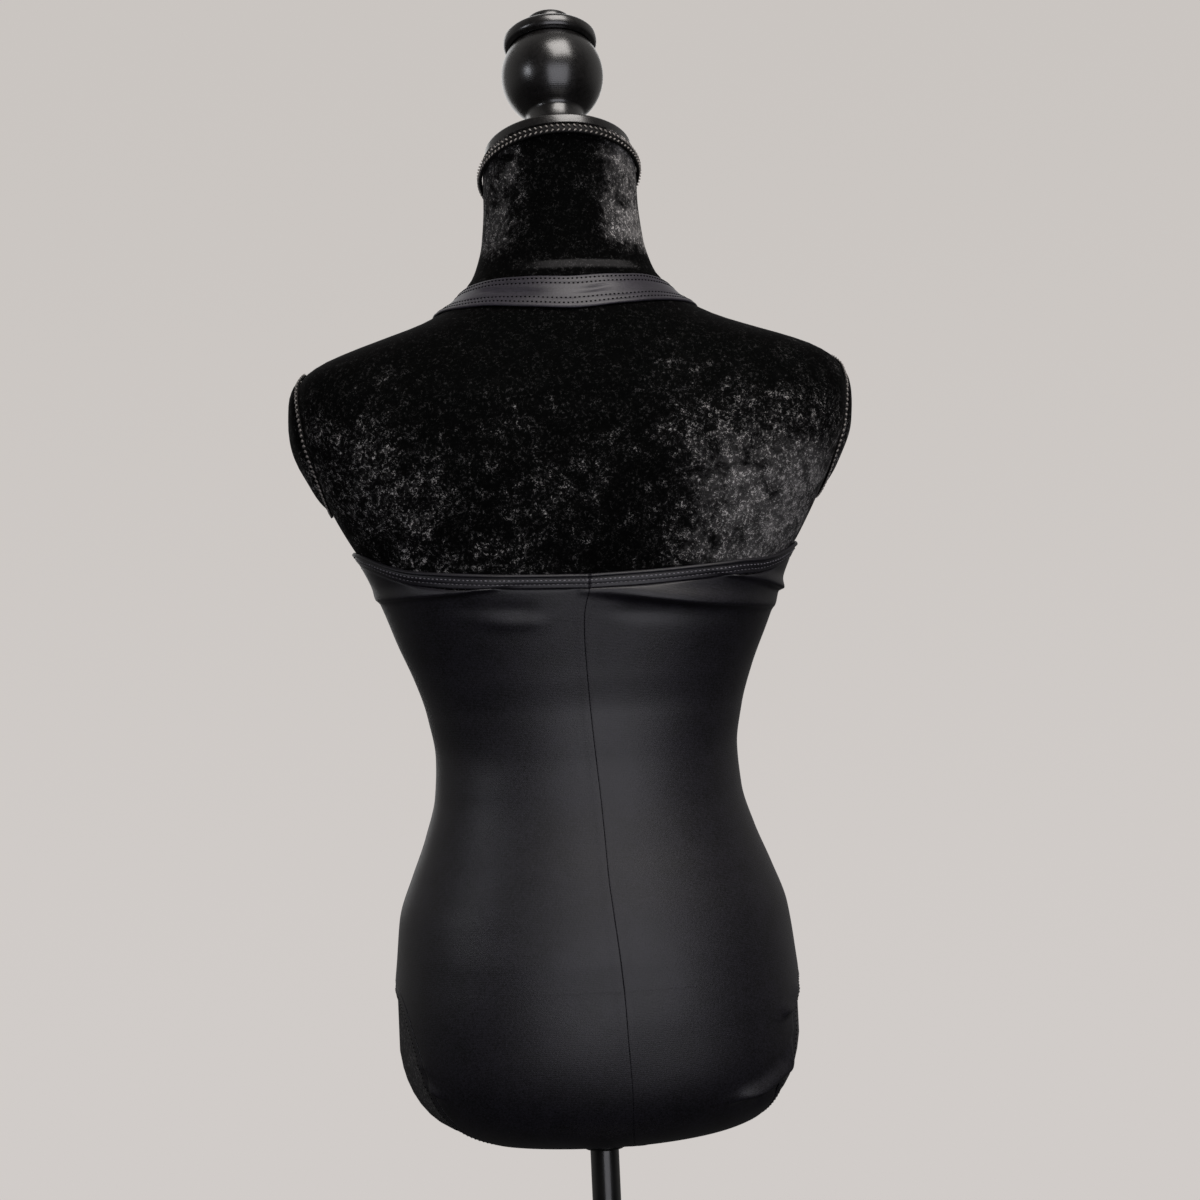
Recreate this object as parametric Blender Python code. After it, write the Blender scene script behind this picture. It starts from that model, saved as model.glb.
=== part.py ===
"""Halter leotard in stretch knit, worn by a limbless dress form on a pole and a round foot.

Metres, +Z up. The floor is z = 0 under the pole, the garment's front faces -Y and the wearer's left is +X.
The leotard is cut from two back panels, a front panel, a neck strap and folded edge bands. Each is a thin wall
laid off the form's own surface, which a table of horizontal sections describes.
"""

import math

import bpy
import bmesh
import numpy as np
from mathutils import Vector

# Stand
FOOT_RADIUS = 0.170
FOOT_THICK = 0.012
FOOT_RIM = 0.004
FOOT_SEGMENTS = 48
COLLAR_RADIUS = 0.021
COLLAR_HEIGHT = 0.030
COLLAR_FLANGE = 0.006
FLANGE_THICK = 0.004
EDGE = 0.002
POLE_RADIUS = 0.011
SOCKET_RADIUS = 0.016
SOCKET_HEIGHT = 0.012
SEAT_GAP = 0.0003

# Form: heights of its turns, and how its lower end rounds under
FORM_BOTTOM = 0.4535
ROUND_START = 0.570
ROUND_POWER = 3.7
UNDER_SHARES = (0.22, 0.50, 0.70, 0.83, 0.91, 0.965, 0.992)
LOW_RINGS = (0.570, 0.820, 10)
HIGH_RINGS = (0.834, 1.099, 19)
NECK_RINGS = 6
NECK_TOP = 1.2025
NECK_TILT = math.radians(19.5)
NECK_CENTRE_Y = -0.019
NECK_BASE = 1.105
FORM_SEGMENTS = 44

# The form's horizontal sections: back and front are the distances of its surface from the pole's axis, middle is
# where the section is widest, and square is the power of its outline, 2 for an ellipse
SECTION_COLUMNS = ("height", "half_width", "back", "front", "middle", "square")
SECTIONS = (
    (0.4535, 0.1545, 0.114, 0.104, 0.000, 2.30),
    (0.550, 0.1543, 0.115, 0.106, 0.000, 2.30),
    (0.593, 0.1506, 0.113, 0.108, 0.000, 2.25),
    (0.624, 0.1464, 0.107, 0.109, 0.000, 2.20),
    (0.655, 0.1352, 0.098, 0.107, 0.000, 2.15),
    (0.685, 0.1235, 0.088, 0.102, 0.000, 2.15),
    (0.716, 0.1148, 0.080, 0.096, 0.000, 2.15),
    (0.747, 0.1128, 0.076, 0.092, 0.000, 2.15),
    (0.778, 0.1177, 0.076, 0.091, 0.000, 2.20),
    (0.808, 0.1272, 0.080, 0.094, 0.000, 2.25),
    (0.839, 0.1396, 0.086, 0.099, 0.000, 2.30),
    (0.870, 0.1516, 0.092, 0.104, 0.000, 2.40),
    (0.893, 0.1618, 0.096, 0.106, 0.000, 2.55),
    (0.906, 0.1700, 0.098, 0.106, 0.000, 2.60),
    (0.931, 0.1835, 0.101, 0.104, 0.000, 2.75),
    (0.962, 0.1975, 0.103, 0.098, 0.000, 3.00),
    (0.993, 0.2075, 0.101, 0.090, 0.000, 3.20),
    (1.020, 0.2100, 0.096, 0.081, -0.001, 3.10),
    (1.032, 0.2085, 0.091, 0.076, -0.002, 2.90),
    (1.041, 0.2030, 0.087, 0.072, -0.003, 2.75),
    (1.049, 0.1920, 0.083, 0.069, -0.005, 2.60),
    (1.056, 0.1760, 0.079, 0.066, -0.006, 2.50),
    (1.066, 0.1480, 0.074, 0.062, -0.008, 2.35),
    (1.079, 0.1130, 0.067, 0.059, -0.011, 2.20),
    (1.093, 0.0885, 0.059, 0.060, -0.013, 2.10),
    (1.107, 0.0755, 0.052, 0.063, -0.015, 2.05),
    (1.122, 0.0677, 0.047, 0.068, -0.017, 2.00),
    (1.142, 0.0622, 0.043, 0.074, -0.019, 2.00),
    (1.172, 0.0597, 0.0405, 0.0785, -0.019, 2.00),
    (1.250, 0.0597, 0.0405, 0.0785, -0.019, 2.00),
)
BUST_HEIGHT = 0.905
BUST_OUT = 0.072
BUST_DEEP = 0.030
BUST_WIDE = 0.052
SPAN_DIP = 0.10
BUST_ABOVE = 0.060
BUST_BELOW = 0.042

# Cloth
CLEAR = 0.0018
CLOTH = 0.0014
BAND_CLOTH = 0.0020
STRAP_CLOTH = 0.0020
STRAP_CLEAR = 0.0020
BAND_WIDTH = 0.0105
SEAM_GAP = 0.0003
STRAP_WIDTH = 0.029
STRAP_ROWS = 39
TURN_HEIGHT = 0.545
CROTCH_TURN = 100.0
COLUMN_POWER = 2.4
PANEL_COLUMNS = 12

# Height of the back edge at the centre, and how much it rises by its share of the way to the side seams
BACK_EDGE = 0.8820
BACK_EDGE_RISE = ((0.0, 0.0), (0.3, 0.0015), (0.55, 0.0040), (0.8, 0.0085), (0.9, 0.0140), (1.0, 0.0250))

# The centre back seam's sideways place down the back, then by degrees of turn under the form
SEAM_DOWN = ((0.495, -0.0136), (0.535, -0.0123), (0.577, -0.0108), (0.620, -0.0075), (0.656, -0.0046),
             (0.702, -0.0033), (0.741, -0.0010), (0.773, 0.0012), (0.801, 0.0028), (0.838, 0.0044),
             (0.850, 0.0041), (0.860, 0.0026), (0.871, -0.0001), (0.884, -0.0010))
SEAM_UNDER = ((0.0, -0.0120), (20.0, -0.0138), (40.0, -0.0150), (60.0, -0.0240), (75.0, -0.0440),
              (90.0, -0.0600), (100.0, -0.0600))

# The leg openings' stitched line. It starts at the side seam, goes down the back, under the form on the pole's
# right side, and up the front. down: height, back and front distance from the middle
LEG_TOP = 0.578
LEG_DOWN = ((0.545, 0.1405, 0.1260), (0.556, 0.1435, 0.1370), (0.5656, 0.1465, 0.1455), (0.5740, 0.1498, 0.1500),
            (0.5768, 0.1519, 0.1519))
# under: degrees of turn from the back to the front, and the left and right lines' places
LEG_UNDER = (
    (0.0, 0.1405, -0.1425),
    (15.0, 0.1355, -0.1375),
    (30.0, 0.1290, -0.1325),
    (42.0, 0.1195, -0.1270),
    (51.0, 0.1030, -0.1210),
    (59.0, 0.0740, -0.1150),
    (64.5, 0.0430, -0.1100),
    (68.5, 0.0110, -0.1060),
    (73.0, -0.0180, -0.1020),
    (78.0, -0.0280, -0.0980),
    (84.0, -0.0325, -0.0950),
    (91.0, -0.0345, -0.0930),
    (100.0, -0.0320, -0.0920),
    (106.0, -0.0220, -0.0920),
    (111.0, 0.0000, -0.0930),
    (116.0, 0.0280, -0.0940),
    (124.0, 0.0560, -0.0960),
    (133.0, 0.0780, -0.0990),
    (142.0, 0.0940, -0.1030),
    (151.0, 0.1050, -0.1080),
    (161.0, 0.1140, -0.1150),
    (171.0, 0.1205, -0.1205),
    (180.0, 0.1260, -0.1260),
)

# The front panel's top line on its left half: across and height. It has an armhole part from the side seam up to the
# strap and a neckline part from the strap down to the middle
FRONT_ARM = ((0.1640, 0.8965), (0.1550, 0.8970), (0.1480, 0.8995), (0.1300, 0.9080), (0.1130, 0.9250),
             (0.0980, 0.9480), (0.0880, 0.9650), (0.0835, 0.9780), (0.0830, 0.9900))
FRONT_NECK = ((0.0690, 0.9900), (0.0685, 0.9780), (0.0630, 0.9670), (0.0460, 0.9510), (0.0250, 0.9395),
              (0.0000, 0.9350))
ARM_COLUMNS = 11
NECK_COLUMNS = 5

# The neck strap's middle line, from the front panel over the left shoulder to the nape: across, depth, height
STRAP_LINE = ((0.0760, -0.0913, 0.9928), (0.0775, -0.0861, 1.0050), (0.0805, -0.0735, 1.0350),
              (0.0848, -0.0600, 1.0600), (0.0890, -0.0400, 1.0830), (0.0900, -0.0120, 1.0925),
              (0.0815, 0.0155, 1.0955), (0.0635, 0.0364, 1.0950), (0.0345, 0.0522, 1.0928), (0.0000, 0.0590, 1.0913))

# The cloth's largest folds, each a soft ridge on the back from a start to an end
FOLD_COLUMNS = ("start_x", "start_z", "end_x", "end_z", "half_width", "height")
FOLDS = (
    (-0.0040, 0.8690, -0.1360, 0.8563, 0.0055, 0.0032),
    (-0.1050, 0.8790, -0.1515, 0.8670, 0.0045, 0.0036),
    (0.0620, 0.8730, 0.1500, 0.8705, 0.0055, 0.0028),
    (0.0440, 0.8590, 0.0940, 0.8580, 0.0070, 0.0010),
    (-0.0970, 0.4915, -0.1460, 0.5135, 0.0060, 0.0036),
    (0.1300, 0.5050, 0.1000, 0.4850, 0.0050, 0.0014),
)
FOLD_FADE = 0.4

# Arm caps and trims
ARM_CENTRE = (-0.003, 0.989)
ARM_HALF = (0.043, 0.0525)
ARM_SHARES = (0.18, 0.50, 0.80, 1.0)
ARM_SEGMENTS = 28
ARM_DOME = 0.0062
ARM_EDGE = 0.0012
CAP_CLEAR = 0.0011
TRIM_RADIUS = 0.0021
TRIM_CLEAR = 0.0006
NECK_TRIM_DROP = 0.0105
NECK_TRIM_TILT = math.radians(23.8)
NECK_TRIM_TALL = 0.0090
BRAID_SIDES = 6

# Neck plate and finial, turned in one axis square to the neck's sloping top: radius and height above the plate
PLATE_RADIUS = 0.0570
PLATE_THICK = 0.0110
PLATE_EDGE = 0.0022
BALL_RADIUS = 0.0400
BALL_HEIGHT = 0.0650
BALL_SPAN = (-55.0, 39.0)
BALL_ROWS = 9
FOOT_TURN = ((0.0290, 0.0000), (0.0302, 0.0030), (0.0298, 0.0070), (0.0276, 0.0110), (0.0248, 0.0155),
             (0.0226, 0.0205), (0.0216, 0.0255), (0.0214, 0.0290), (0.0221, 0.0312))
CAP_TURN = ((0.0330, 0.0892), (0.0356, 0.0908), (0.0368, 0.0942), (0.0366, 0.0980), (0.0338, 0.1013),
            (0.0278, 0.1036), (0.0212, 0.1052), (0.0188, 0.1078), (0.0184, 0.1125), (0.0174, 0.1152),
            (0.0080, 0.1176))
TURNED_SEGMENTS = 24

COLOURS = {
    "leotard": ((0.014, 0.014, 0.017), 0.50, 0.0),
    "velvet": ((0.006, 0.006, 0.006), 0.85, 0.0),
    "trim": ((0.020, 0.019, 0.018), 0.60, 0.0),
    "lacquer": ((0.010, 0.010, 0.010), 0.22, 0.0),
    "metal": ((0.012, 0.012, 0.012), 0.35, 0.6),
}


def slopes(xs, ys):
    """Slopes of a curve through the points that never overshoots them."""
    secants = np.diff(ys) / np.diff(xs)
    inner = np.zeros(len(xs) - 2)
    same = secants[:-1] * secants[1:] > 0
    inner[same] = 2 * secants[:-1][same] * secants[1:][same] / (secants[:-1] + secants[1:])[same]
    return np.concatenate([[secants[0]], inner, [secants[-1]]])


def smooth(at, xs, ys):
    """The smooth curve through the points, read at the places asked for."""
    xs, ys = np.asarray(xs, float), np.asarray(ys, float)
    m = slopes(xs, ys)
    at = np.clip(at, xs[0], xs[-1])
    i = np.clip(np.searchsorted(xs, at, side="right") - 1, 0, len(xs) - 2)
    step = xs[i + 1] - xs[i]
    t = (at - xs[i]) / step
    rise = t * t * (3 - 2 * t)
    return (ys[i] + (ys[i + 1] - ys[i]) * rise + step * t * (1 - t) * ((1 - t) * m[i] - t * m[i + 1]))


def column(table, index):
    return [row[index] for row in table]


def section(name, heights):
    index = SECTION_COLUMNS.index(name)
    return smooth(heights, column(SECTIONS, 0), column(SECTIONS, index))


def bust(across, heights, spanned):
    """How far the front stands out over the bust. Cloth spans the hollow between the two sides."""
    rise = heights - BUST_HEIGHT
    spread = np.where(rise > 0, BUST_ABOVE, BUST_BELOW)
    side = np.exp(-(((across - BUST_OUT) / BUST_WIDE) ** 2)) + np.exp(-(((across + BUST_OUT) / BUST_WIDE) ** 2))
    if spanned:
        share = np.clip(np.abs(across) / BUST_OUT, 0, 1)
        side = np.where(share < 1, 1 - SPAN_DIP * (1 - share**2) ** 2, side)
    return BUST_DEEP * np.exp(-((rise / spread) ** 2)) * side


def depth_of(across, depths, heights, spanned):
    """Half the section's depth, on the side that the point is on."""
    middle = section("middle", heights)
    back = section("back", heights) - middle
    front = section("front", heights) + middle + bust(across, heights, spanned)
    return np.where(depths > middle, back, front)


def level(points, spanned=False):
    """Under zero inside the form, zero on its surface and over zero outside."""
    x, y, z = np.moveaxis(points, -1, 0)
    power = section("square", z)
    wide = np.abs(x) / section("half_width", z)
    deep = np.abs(y - section("middle", z)) / depth_of(x, y, z, spanned)
    ring = (wide**power + deep**power) ** (1 / power)
    under = np.clip((ROUND_START - z) / (ROUND_START - FORM_BOTTOM), 0, None)
    return (ring**ROUND_POWER + under**ROUND_POWER) ** (1 / ROUND_POWER) - 1


def slope_at(points, spanned=False):
    step = 1e-5
    moves = np.eye(3) * step
    return np.stack([(level(points + m, spanned) - level(points - m, spanned)) / (2 * step) for m in moves], axis=-1)


def normals_at(points, spanned=False):
    slope = slope_at(points, spanned)
    return slope / np.linalg.norm(slope, axis=-1, keepdims=True)


def cast(starts, directions, spanned=False):
    """Where rays from inside the form leave it."""
    starts, directions = np.broadcast_arrays(starts, directions)
    near, far = np.zeros(starts.shape[:-1]), np.full(starts.shape[:-1], 0.30)
    for _ in range(40):
        half = (near + far) / 2
        inside = level(starts + directions * half[..., None], spanned) < 0
        near, far = np.where(inside, half, near), np.where(inside, far, half)
    return starts + directions * near[..., None]


def settle(points, spanned=False):
    """Points near the form, moved square onto its surface."""
    for _ in range(12):
        slope = slope_at(points, spanned)
        points = points - slope * (level(points, spanned) / (slope**2).sum(-1))[..., None]
    return points


def angle_of(across, half_width):
    """The column angle of a place across a section: 0 at the left side, a right angle in the middle."""
    share = np.clip(np.abs(across) / half_width, 0, 1)
    angle = np.arctan2((1 - share**COLUMN_POWER) ** (1 / COLUMN_POWER), share)
    return np.where(np.asarray(across) < 0, math.pi - angle, angle)


def across_at(angles, half_width):
    c, s = np.cos(angles), np.sin(angles)
    return half_width * c / (np.abs(c) ** COLUMN_POWER + np.abs(s) ** COLUMN_POWER) ** (1 / COLUMN_POWER)


def level_row(angles, heights, toward):
    """Points on a horizontal section, on the back (toward 1) or the front (toward -1)."""
    angles, heights = np.broadcast_arrays(angles, np.asarray(heights, float))
    across = across_at(angles, section("half_width", heights))
    starts = np.stack([across, section("middle", heights), heights], axis=-1)
    return cast(starts, np.array([0.0, toward, 0.0]), spanned=True)


def under_row(angles, turn):
    """Points on the form's surface in a half plane turned down from the back by that many degrees."""
    angles = np.asarray(angles, float)
    across = across_at(angles, section("half_width", TURN_HEIGHT))
    starts = np.stack([across, np.zeros_like(across), np.full_like(across, TURN_HEIGHT)], axis=-1)
    a = math.radians(turn)
    return cast(starts, np.array([0.0, math.cos(a), -math.sin(a)]))


def leg_angle(side, part, at):
    """The leg line's column angle. side is 1 for left and -1 for right; part is back, under or front."""
    if part == "under":
        across = smooth(at, column(LEG_UNDER, 0), column(LEG_UNDER, 1 if side > 0 else 2))
        return float(angle_of(across, section("half_width", TURN_HEIGHT)))
    if at >= LEG_TOP:
        return 0.0 if side > 0 else math.pi
    heights = column(LEG_DOWN, 0) + [LEG_TOP]
    widths = column(LEG_DOWN, 1 if part == "back" else 2) + [float(section("half_width", LEG_TOP))]
    across = side * float(np.interp(at, heights, widths))
    return float(angle_of(across, section("half_width", at)))


def inset_edges(grid, wrap=False):
    """A grid of surface points with its edges drawn in by half a seam gap."""
    grid = grid.copy()
    for lines in ([grid] if wrap else [grid, grid.swapaxes(0, 1)]):
        for edge, inner in ((0, 1), (-1, -2)):
            move = lines[inner] - lines[edge]
            lines[edge] += move / np.linalg.norm(move, axis=-1, keepdims=True) * SEAM_GAP / 2
    return grid


def fold_height(points):
    """How far the folds lift the cloth at these points. They lie on the back."""
    x, y, z = np.moveaxis(points, -1, 0)
    lift = np.zeros(x.shape)
    for start_x, start_z, end_x, end_z, half_width, height in FOLDS:
        along_x, along_z = end_x - start_x, end_z - start_z
        length = math.hypot(along_x, along_z)
        share = ((x - start_x) * along_x + (z - start_z) * along_z) / length**2
        off = ((x - start_x) * along_z - (z - start_z) * along_x) / length
        ends = np.clip(np.minimum(share, 1 - share) / FOLD_FADE + 0.5, 0, 1)
        ends = ends * ends * (3 - 2 * ends)
        lift += height * ends * np.exp(-((off / half_width) ** 2)) * (y > 0)
    return lift


def paint(obj, finish):
    material = bpy.data.materials.get(finish)
    if material is None:
        colour, roughness, metallic = COLOURS[finish]
        material = bpy.data.materials.new(finish)
        material.use_nodes = True
        surface = material.node_tree.nodes["Principled BSDF"]
        surface.inputs["Base Color"].default_value = (*colour, 1)
        surface.inputs["Roughness"].default_value = roughness
        surface.inputs["Metallic"].default_value = metallic
        material.diffuse_color = (*colour, 1)
    obj.data.materials.append(material)


def finish_mesh(name, bm, finish):
    bmesh.ops.recalc_face_normals(bm, faces=bm.faces)
    mesh = bpy.data.meshes.new(name)
    bm.to_mesh(mesh)
    bm.free()
    mesh.shade_smooth()
    mesh.set_sharp_from_angle(angle=math.radians(40))
    obj = bpy.data.objects.new(name, mesh)
    bpy.context.scene.collection.objects.link(obj)
    paint(obj, finish)
    return obj


def wall(name, grid, inner, outer, finish, wrap=False, spanned=False):
    """A closed wall between two distances off a grid of surface points. With wrap its rows close into a ring."""
    grid = inset_edges(grid, wrap)
    outward = normals_at(grid, spanned)
    lift = fold_height(grid)[..., None]
    rows, columns = grid.shape[:2] if not wrap else grid.shape[1::-1]
    bm = bmesh.new()
    sides = []
    for distance in (inner, outer):
        points = grid + outward * (distance + lift)
        if wrap:
            points = points.swapaxes(0, 1)
        sides.append([[bm.verts.new(p) for p in row] for row in points.tolist()])
    steps = range(rows) if wrap else range(rows - 1)
    for side in sides:
        for i in steps:
            for j in range(columns - 1):
                nxt = side[(i + 1) % rows]
                bm.faces.new((side[i][j], side[i][j + 1], nxt[j + 1], nxt[j]))
    low, high = sides
    for i in steps:
        for j in (0, columns - 1):
            nxt = (i + 1) % rows
            bm.faces.new((low[i][j], high[i][j], high[nxt][j], low[nxt][j]))
    if not wrap:
        for i in (0, rows - 1):
            for j in range(columns - 1):
                bm.faces.new((low[i][j], low[i][j + 1], high[i][j + 1], high[i][j]))
    return finish_mesh(name, bm, finish)


def loft(name, rings, finish):
    """A closed solid through rings of points, with a flat end on the first and the last."""
    bm = bmesh.new()
    made = [[bm.verts.new(p) for p in ring] for ring in rings]
    for ring, nxt in zip(made, made[1:]):
        for j in range(len(ring)):
            k = (j + 1) % len(ring)
            bm.faces.new((ring[j], ring[k], nxt[k], nxt[j]))
    bm.faces.new(made[0])
    bm.faces.new(made[-1])
    return finish_mesh(name, bm, finish)


def turned(name, profile, finish, segments=TURNED_SEGMENTS):
    """A solid of revolution about +Z from rows of radius and height."""
    angles = np.arange(segments) * 2 * math.pi / segments
    rings = [[(r * math.cos(a), r * math.sin(a), h) for a in angles] for r, h in profile]
    return loft(name, rings, finish)


def braid(name, line, outward, along, half_out, half_tall):
    """A closed run of braid with an oval section. outward and along are its two directions at each point."""
    bm = bmesh.new()
    angles = (np.arange(BRAID_SIDES) + 0.5) * 2 * math.pi / BRAID_SIDES
    rings = []
    for point, out, up in zip(line, outward, along):
        ring = [point + out * half_out * math.cos(a) + up * half_tall * math.sin(a) for a in angles]
        rings.append([bm.verts.new(p) for p in ring])
    for i, ring in enumerate(rings):
        nxt = rings[(i + 1) % len(rings)]
        for j in range(BRAID_SIDES):
            k = (j + 1) % BRAID_SIDES
            bm.faces.new((ring[j], ring[k], nxt[k], nxt[j]))
    return finish_mesh(name, bm, "trim")


def form_ring(height, tilt=0.0, share=1.0):
    """A ring round the form, flat at that height or tilted up towards the back. share draws it in under the form."""
    angles = (np.arange(FORM_SEGMENTS) + 0.5) * 2 * math.pi / FORM_SEGMENTS
    c, s = np.cos(angles), np.sin(angles)
    heights = np.full(FORM_SEGMENTS, float(height))
    for _ in range(8):
        power = section("square", heights)
        size = share / (np.abs(c) ** power + np.abs(s) ** power) ** (1 / power)
        x = section("half_width", heights) * c * size
        middle = section("middle", heights)
        y = middle + depth_of(x, middle + s, heights, False) * s * size
        heights = height + tilt * (y - NECK_CENTRE_Y)
    return np.stack([x, y, heights], axis=-1).tolist()


def make_form():
    drop = ROUND_START - FORM_BOTTOM
    rings = [form_ring(ROUND_START - drop * (1 - s**ROUND_POWER) ** (1 / ROUND_POWER), share=s)
             for s in UNDER_SHARES]
    rings += [form_ring(z) for z in (*np.linspace(*LOW_RINGS), *np.linspace(*HIGH_RINGS))]
    neck = np.linspace(0, 1, NECK_RINGS)
    rings += [form_ring(NECK_BASE + (NECK_TOP - NECK_BASE) * n, math.tan(NECK_TILT) * n) for n in neck]
    loft("form_body", rings, "velvet")


def make_arm(side, label):
    """The domed cap of an armhole and the braid round it."""
    centre_y, centre_z = ARM_CENTRE
    half_y, half_z = ARM_HALF
    angles = np.arange(ARM_SEGMENTS) * 2 * math.pi / ARM_SEGMENTS

    def ring(share, lift):
        y = centre_y + half_y * share * np.cos(angles)
        z = centre_z + half_z * share * np.sin(angles)
        starts = np.stack([np.zeros_like(y), y, z], axis=-1)
        points = cast(starts, np.array([float(side), 0.0, 0.0]))
        return points + normals_at(points) * lift

    rim = 1 - (TRIM_RADIUS + 2 * TRIM_CLEAR) / half_y
    rings = [ring(share * rim, CAP_CLEAR) for share in ARM_SHARES]
    for share in ARM_SHARES[::-1]:
        rings.append(ring(share * rim, CAP_CLEAR + ARM_EDGE + ARM_DOME * (1 - share**2) ** 0.7))
    loft("form_arm_cap_" + label, [r.tolist() for r in rings], "velvet")
    line = ring(1.0, TRIM_RADIUS + TRIM_CLEAR)
    outward = normals_at(line)
    run = np.roll(line, -1, axis=0) - np.roll(line, 1, axis=0)
    along = np.cross(outward, run / np.linalg.norm(run, axis=-1, keepdims=True))
    braid("form_arm_trim_" + label, line, outward, along, TRIM_RADIUS, TRIM_RADIUS)


def make_neck():
    """The wooden plate and finial on the neck's sloping top, and the braid under the plate."""
    place = Vector((0, NECK_CENTRE_Y, NECK_TOP))
    up = Vector((0, -math.sin(NECK_TILT), math.cos(NECK_TILT)))
    low, high = BALL_SPAN
    ball = [(BALL_RADIUS * math.cos(a), BALL_HEIGHT + BALL_RADIUS * math.sin(a))
            for a in np.radians(np.linspace(low, high, BALL_ROWS))]
    plate = ((PLATE_RADIUS - PLATE_EDGE, 0.0), (PLATE_RADIUS, PLATE_EDGE),
             (PLATE_RADIUS, PLATE_THICK - PLATE_EDGE), (PLATE_RADIUS - PLATE_EDGE, PLATE_THICK))
    rises = (SEAT_GAP, PLATE_THICK + 2 * SEAT_GAP)
    for name, profile, rise in (("form_neck_plate", plate, rises[0]),
                                ("form_finial", (*FOOT_TURN, *ball, *CAP_TURN), rises[1])):
        obj = turned(name, profile, "lacquer")
        obj.rotation_euler = (NECK_TILT, 0, 0)
        obj.location = place + up * rise
    ring = np.array(form_ring(NECK_TOP - NECK_TRIM_DROP, math.tan(NECK_TRIM_TILT)))
    outward = normals_at(ring)
    line = ring + outward * (TRIM_RADIUS + TRIM_CLEAR)
    along = np.tile(np.array(up), (len(line), 1))
    braid("form_neck_trim", line, outward, along, TRIM_RADIUS, NECK_TRIM_TALL / 2)


def make_stand():
    turned("stand_foot", ((FOOT_RADIUS - FOOT_RIM / 2, 0.0), (FOOT_RADIUS, FOOT_RIM / 2),
                          (FOOT_RADIUS, FOOT_THICK - FOOT_RIM), (FOOT_RADIUS - FOOT_RIM, FOOT_THICK)),
           "metal", FOOT_SEGMENTS)
    collar_low = FOOT_THICK + SEAT_GAP
    flange = COLLAR_RADIUS + COLLAR_FLANGE
    collar = turned("stand_collar", ((flange, 0.0), (flange, FLANGE_THICK), (COLLAR_RADIUS, 2 * FLANGE_THICK),
                                     (COLLAR_RADIUS, COLLAR_HEIGHT - EDGE),
                                     (COLLAR_RADIUS - EDGE, COLLAR_HEIGHT)), "metal")
    collar.location = (0, 0, collar_low)
    pole_low = collar_low + COLLAR_HEIGHT + SEAT_GAP
    socket_high = FORM_BOTTOM - SEAT_GAP
    socket_low = socket_high - SOCKET_HEIGHT
    pole_high = socket_low - SEAT_GAP
    pole = turned("stand_pole", ((POLE_RADIUS, 0.0), (POLE_RADIUS, pole_high - pole_low)), "metal")
    pole.location = (0, 0, pole_low)
    socket = turned("stand_socket", ((SOCKET_RADIUS - EDGE, 0.0), (SOCKET_RADIUS, EDGE),
                                     (SOCKET_RADIUS, SOCKET_HEIGHT)), "metal")
    socket.location = (0, 0, socket_low)


def seam_place(part, at):
    if part == "under":
        return float(smooth(at, column(SEAM_UNDER, 0), column(SEAM_UNDER, 1)))
    return float(smooth(at, column(SEAM_DOWN, 0), column(SEAM_DOWN, 1)))


# Rows of the panels below the part that follows the top edge
BACK_HEIGHTS = (0.838, 0.818, 0.795, 0.768, 0.741, 0.714, 0.687, 0.660, 0.632, 0.604)
FRONT_HEIGHTS = (0.865, 0.842, 0.816, 0.786, 0.754, 0.722, 0.690, 0.655, 0.615)
FRONT_CLIMB = (0.14, 0.28, 0.42, 0.58, 0.78, 1.0)
LEG_HEIGHTS = (LEG_TOP, 0.5768, 0.5740, 0.5656, 0.556, TURN_HEIGHT)
BACK_TURNS = (8.0, 16.0, 24.0, 33.0, 42.0, 51.0, 59.0, 64.5, 68.5, 73.0, 78.0, 84.0, 91.0, CROTCH_TURN)
FRONT_TURNS = (CROTCH_TURN, 106.0, 111.0, 116.0, 124.0, 133.0, 142.0, 151.0, 161.0, 171.0)
BACK_TOP_DROPS = (0.0, 0.0040, 0.0080, 0.0120, 0.0160, 0.0205, 0.0255, 0.0315)


def back_edge(angles):
    share = np.abs(across_at(angles, 1.0))
    return BACK_EDGE + smooth(share, column(BACK_EDGE_RISE, 0), column(BACK_EDGE_RISE, 1))


def back_angles(side, part, at, half_width):
    """Column angles of a back panel, from the centre seam to its side or leg line."""
    start = float(angle_of(seam_place(part, at), half_width))
    return start + (leg_angle(side, part, at) - start) * np.linspace(0, 1, PANEL_COLUMNS)


def back_top_rows(side, drops):
    """Rows that follow the back's top edge, each that far below it."""
    rows = []
    for drop in drops:
        at = BACK_EDGE - drop
        angles = back_angles(side, "back", at, section("half_width", at))
        rows.append(level_row(angles, back_edge(angles) - drop, 1.0))
    return np.array(rows)


def back_grid(side):
    """Surface points of a back panel, from its top line to the crotch and from the centre seam to the side."""
    rows = list(back_top_rows(side, [BAND_WIDTH + drop for drop in BACK_TOP_DROPS]))
    for height in (*BACK_HEIGHTS, *LEG_HEIGHTS):
        rows.append(level_row(back_angles(side, "back", height, section("half_width", height)), height, 1.0))
    for turn in BACK_TURNS:
        rows.append(under_row(back_angles(side, "under", turn, section("half_width", TURN_HEIGHT)), turn))
    return np.array(rows)


def even_line(table, count):
    """Column angles and heights at even steps of girth along a line given by places across and heights."""
    heights = np.array(column(table, 1))
    angles = np.array([float(angle_of(x, section("half_width", z))) for x, z in table])
    steps = np.hypot(np.diff(angles) * float(section("half_width", heights[0])), np.diff(heights))
    along = np.concatenate([[0], np.cumsum(steps)])
    at = np.linspace(0, along[-1], count)
    return smooth(at, along, angles), smooth(at, along, heights)


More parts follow.
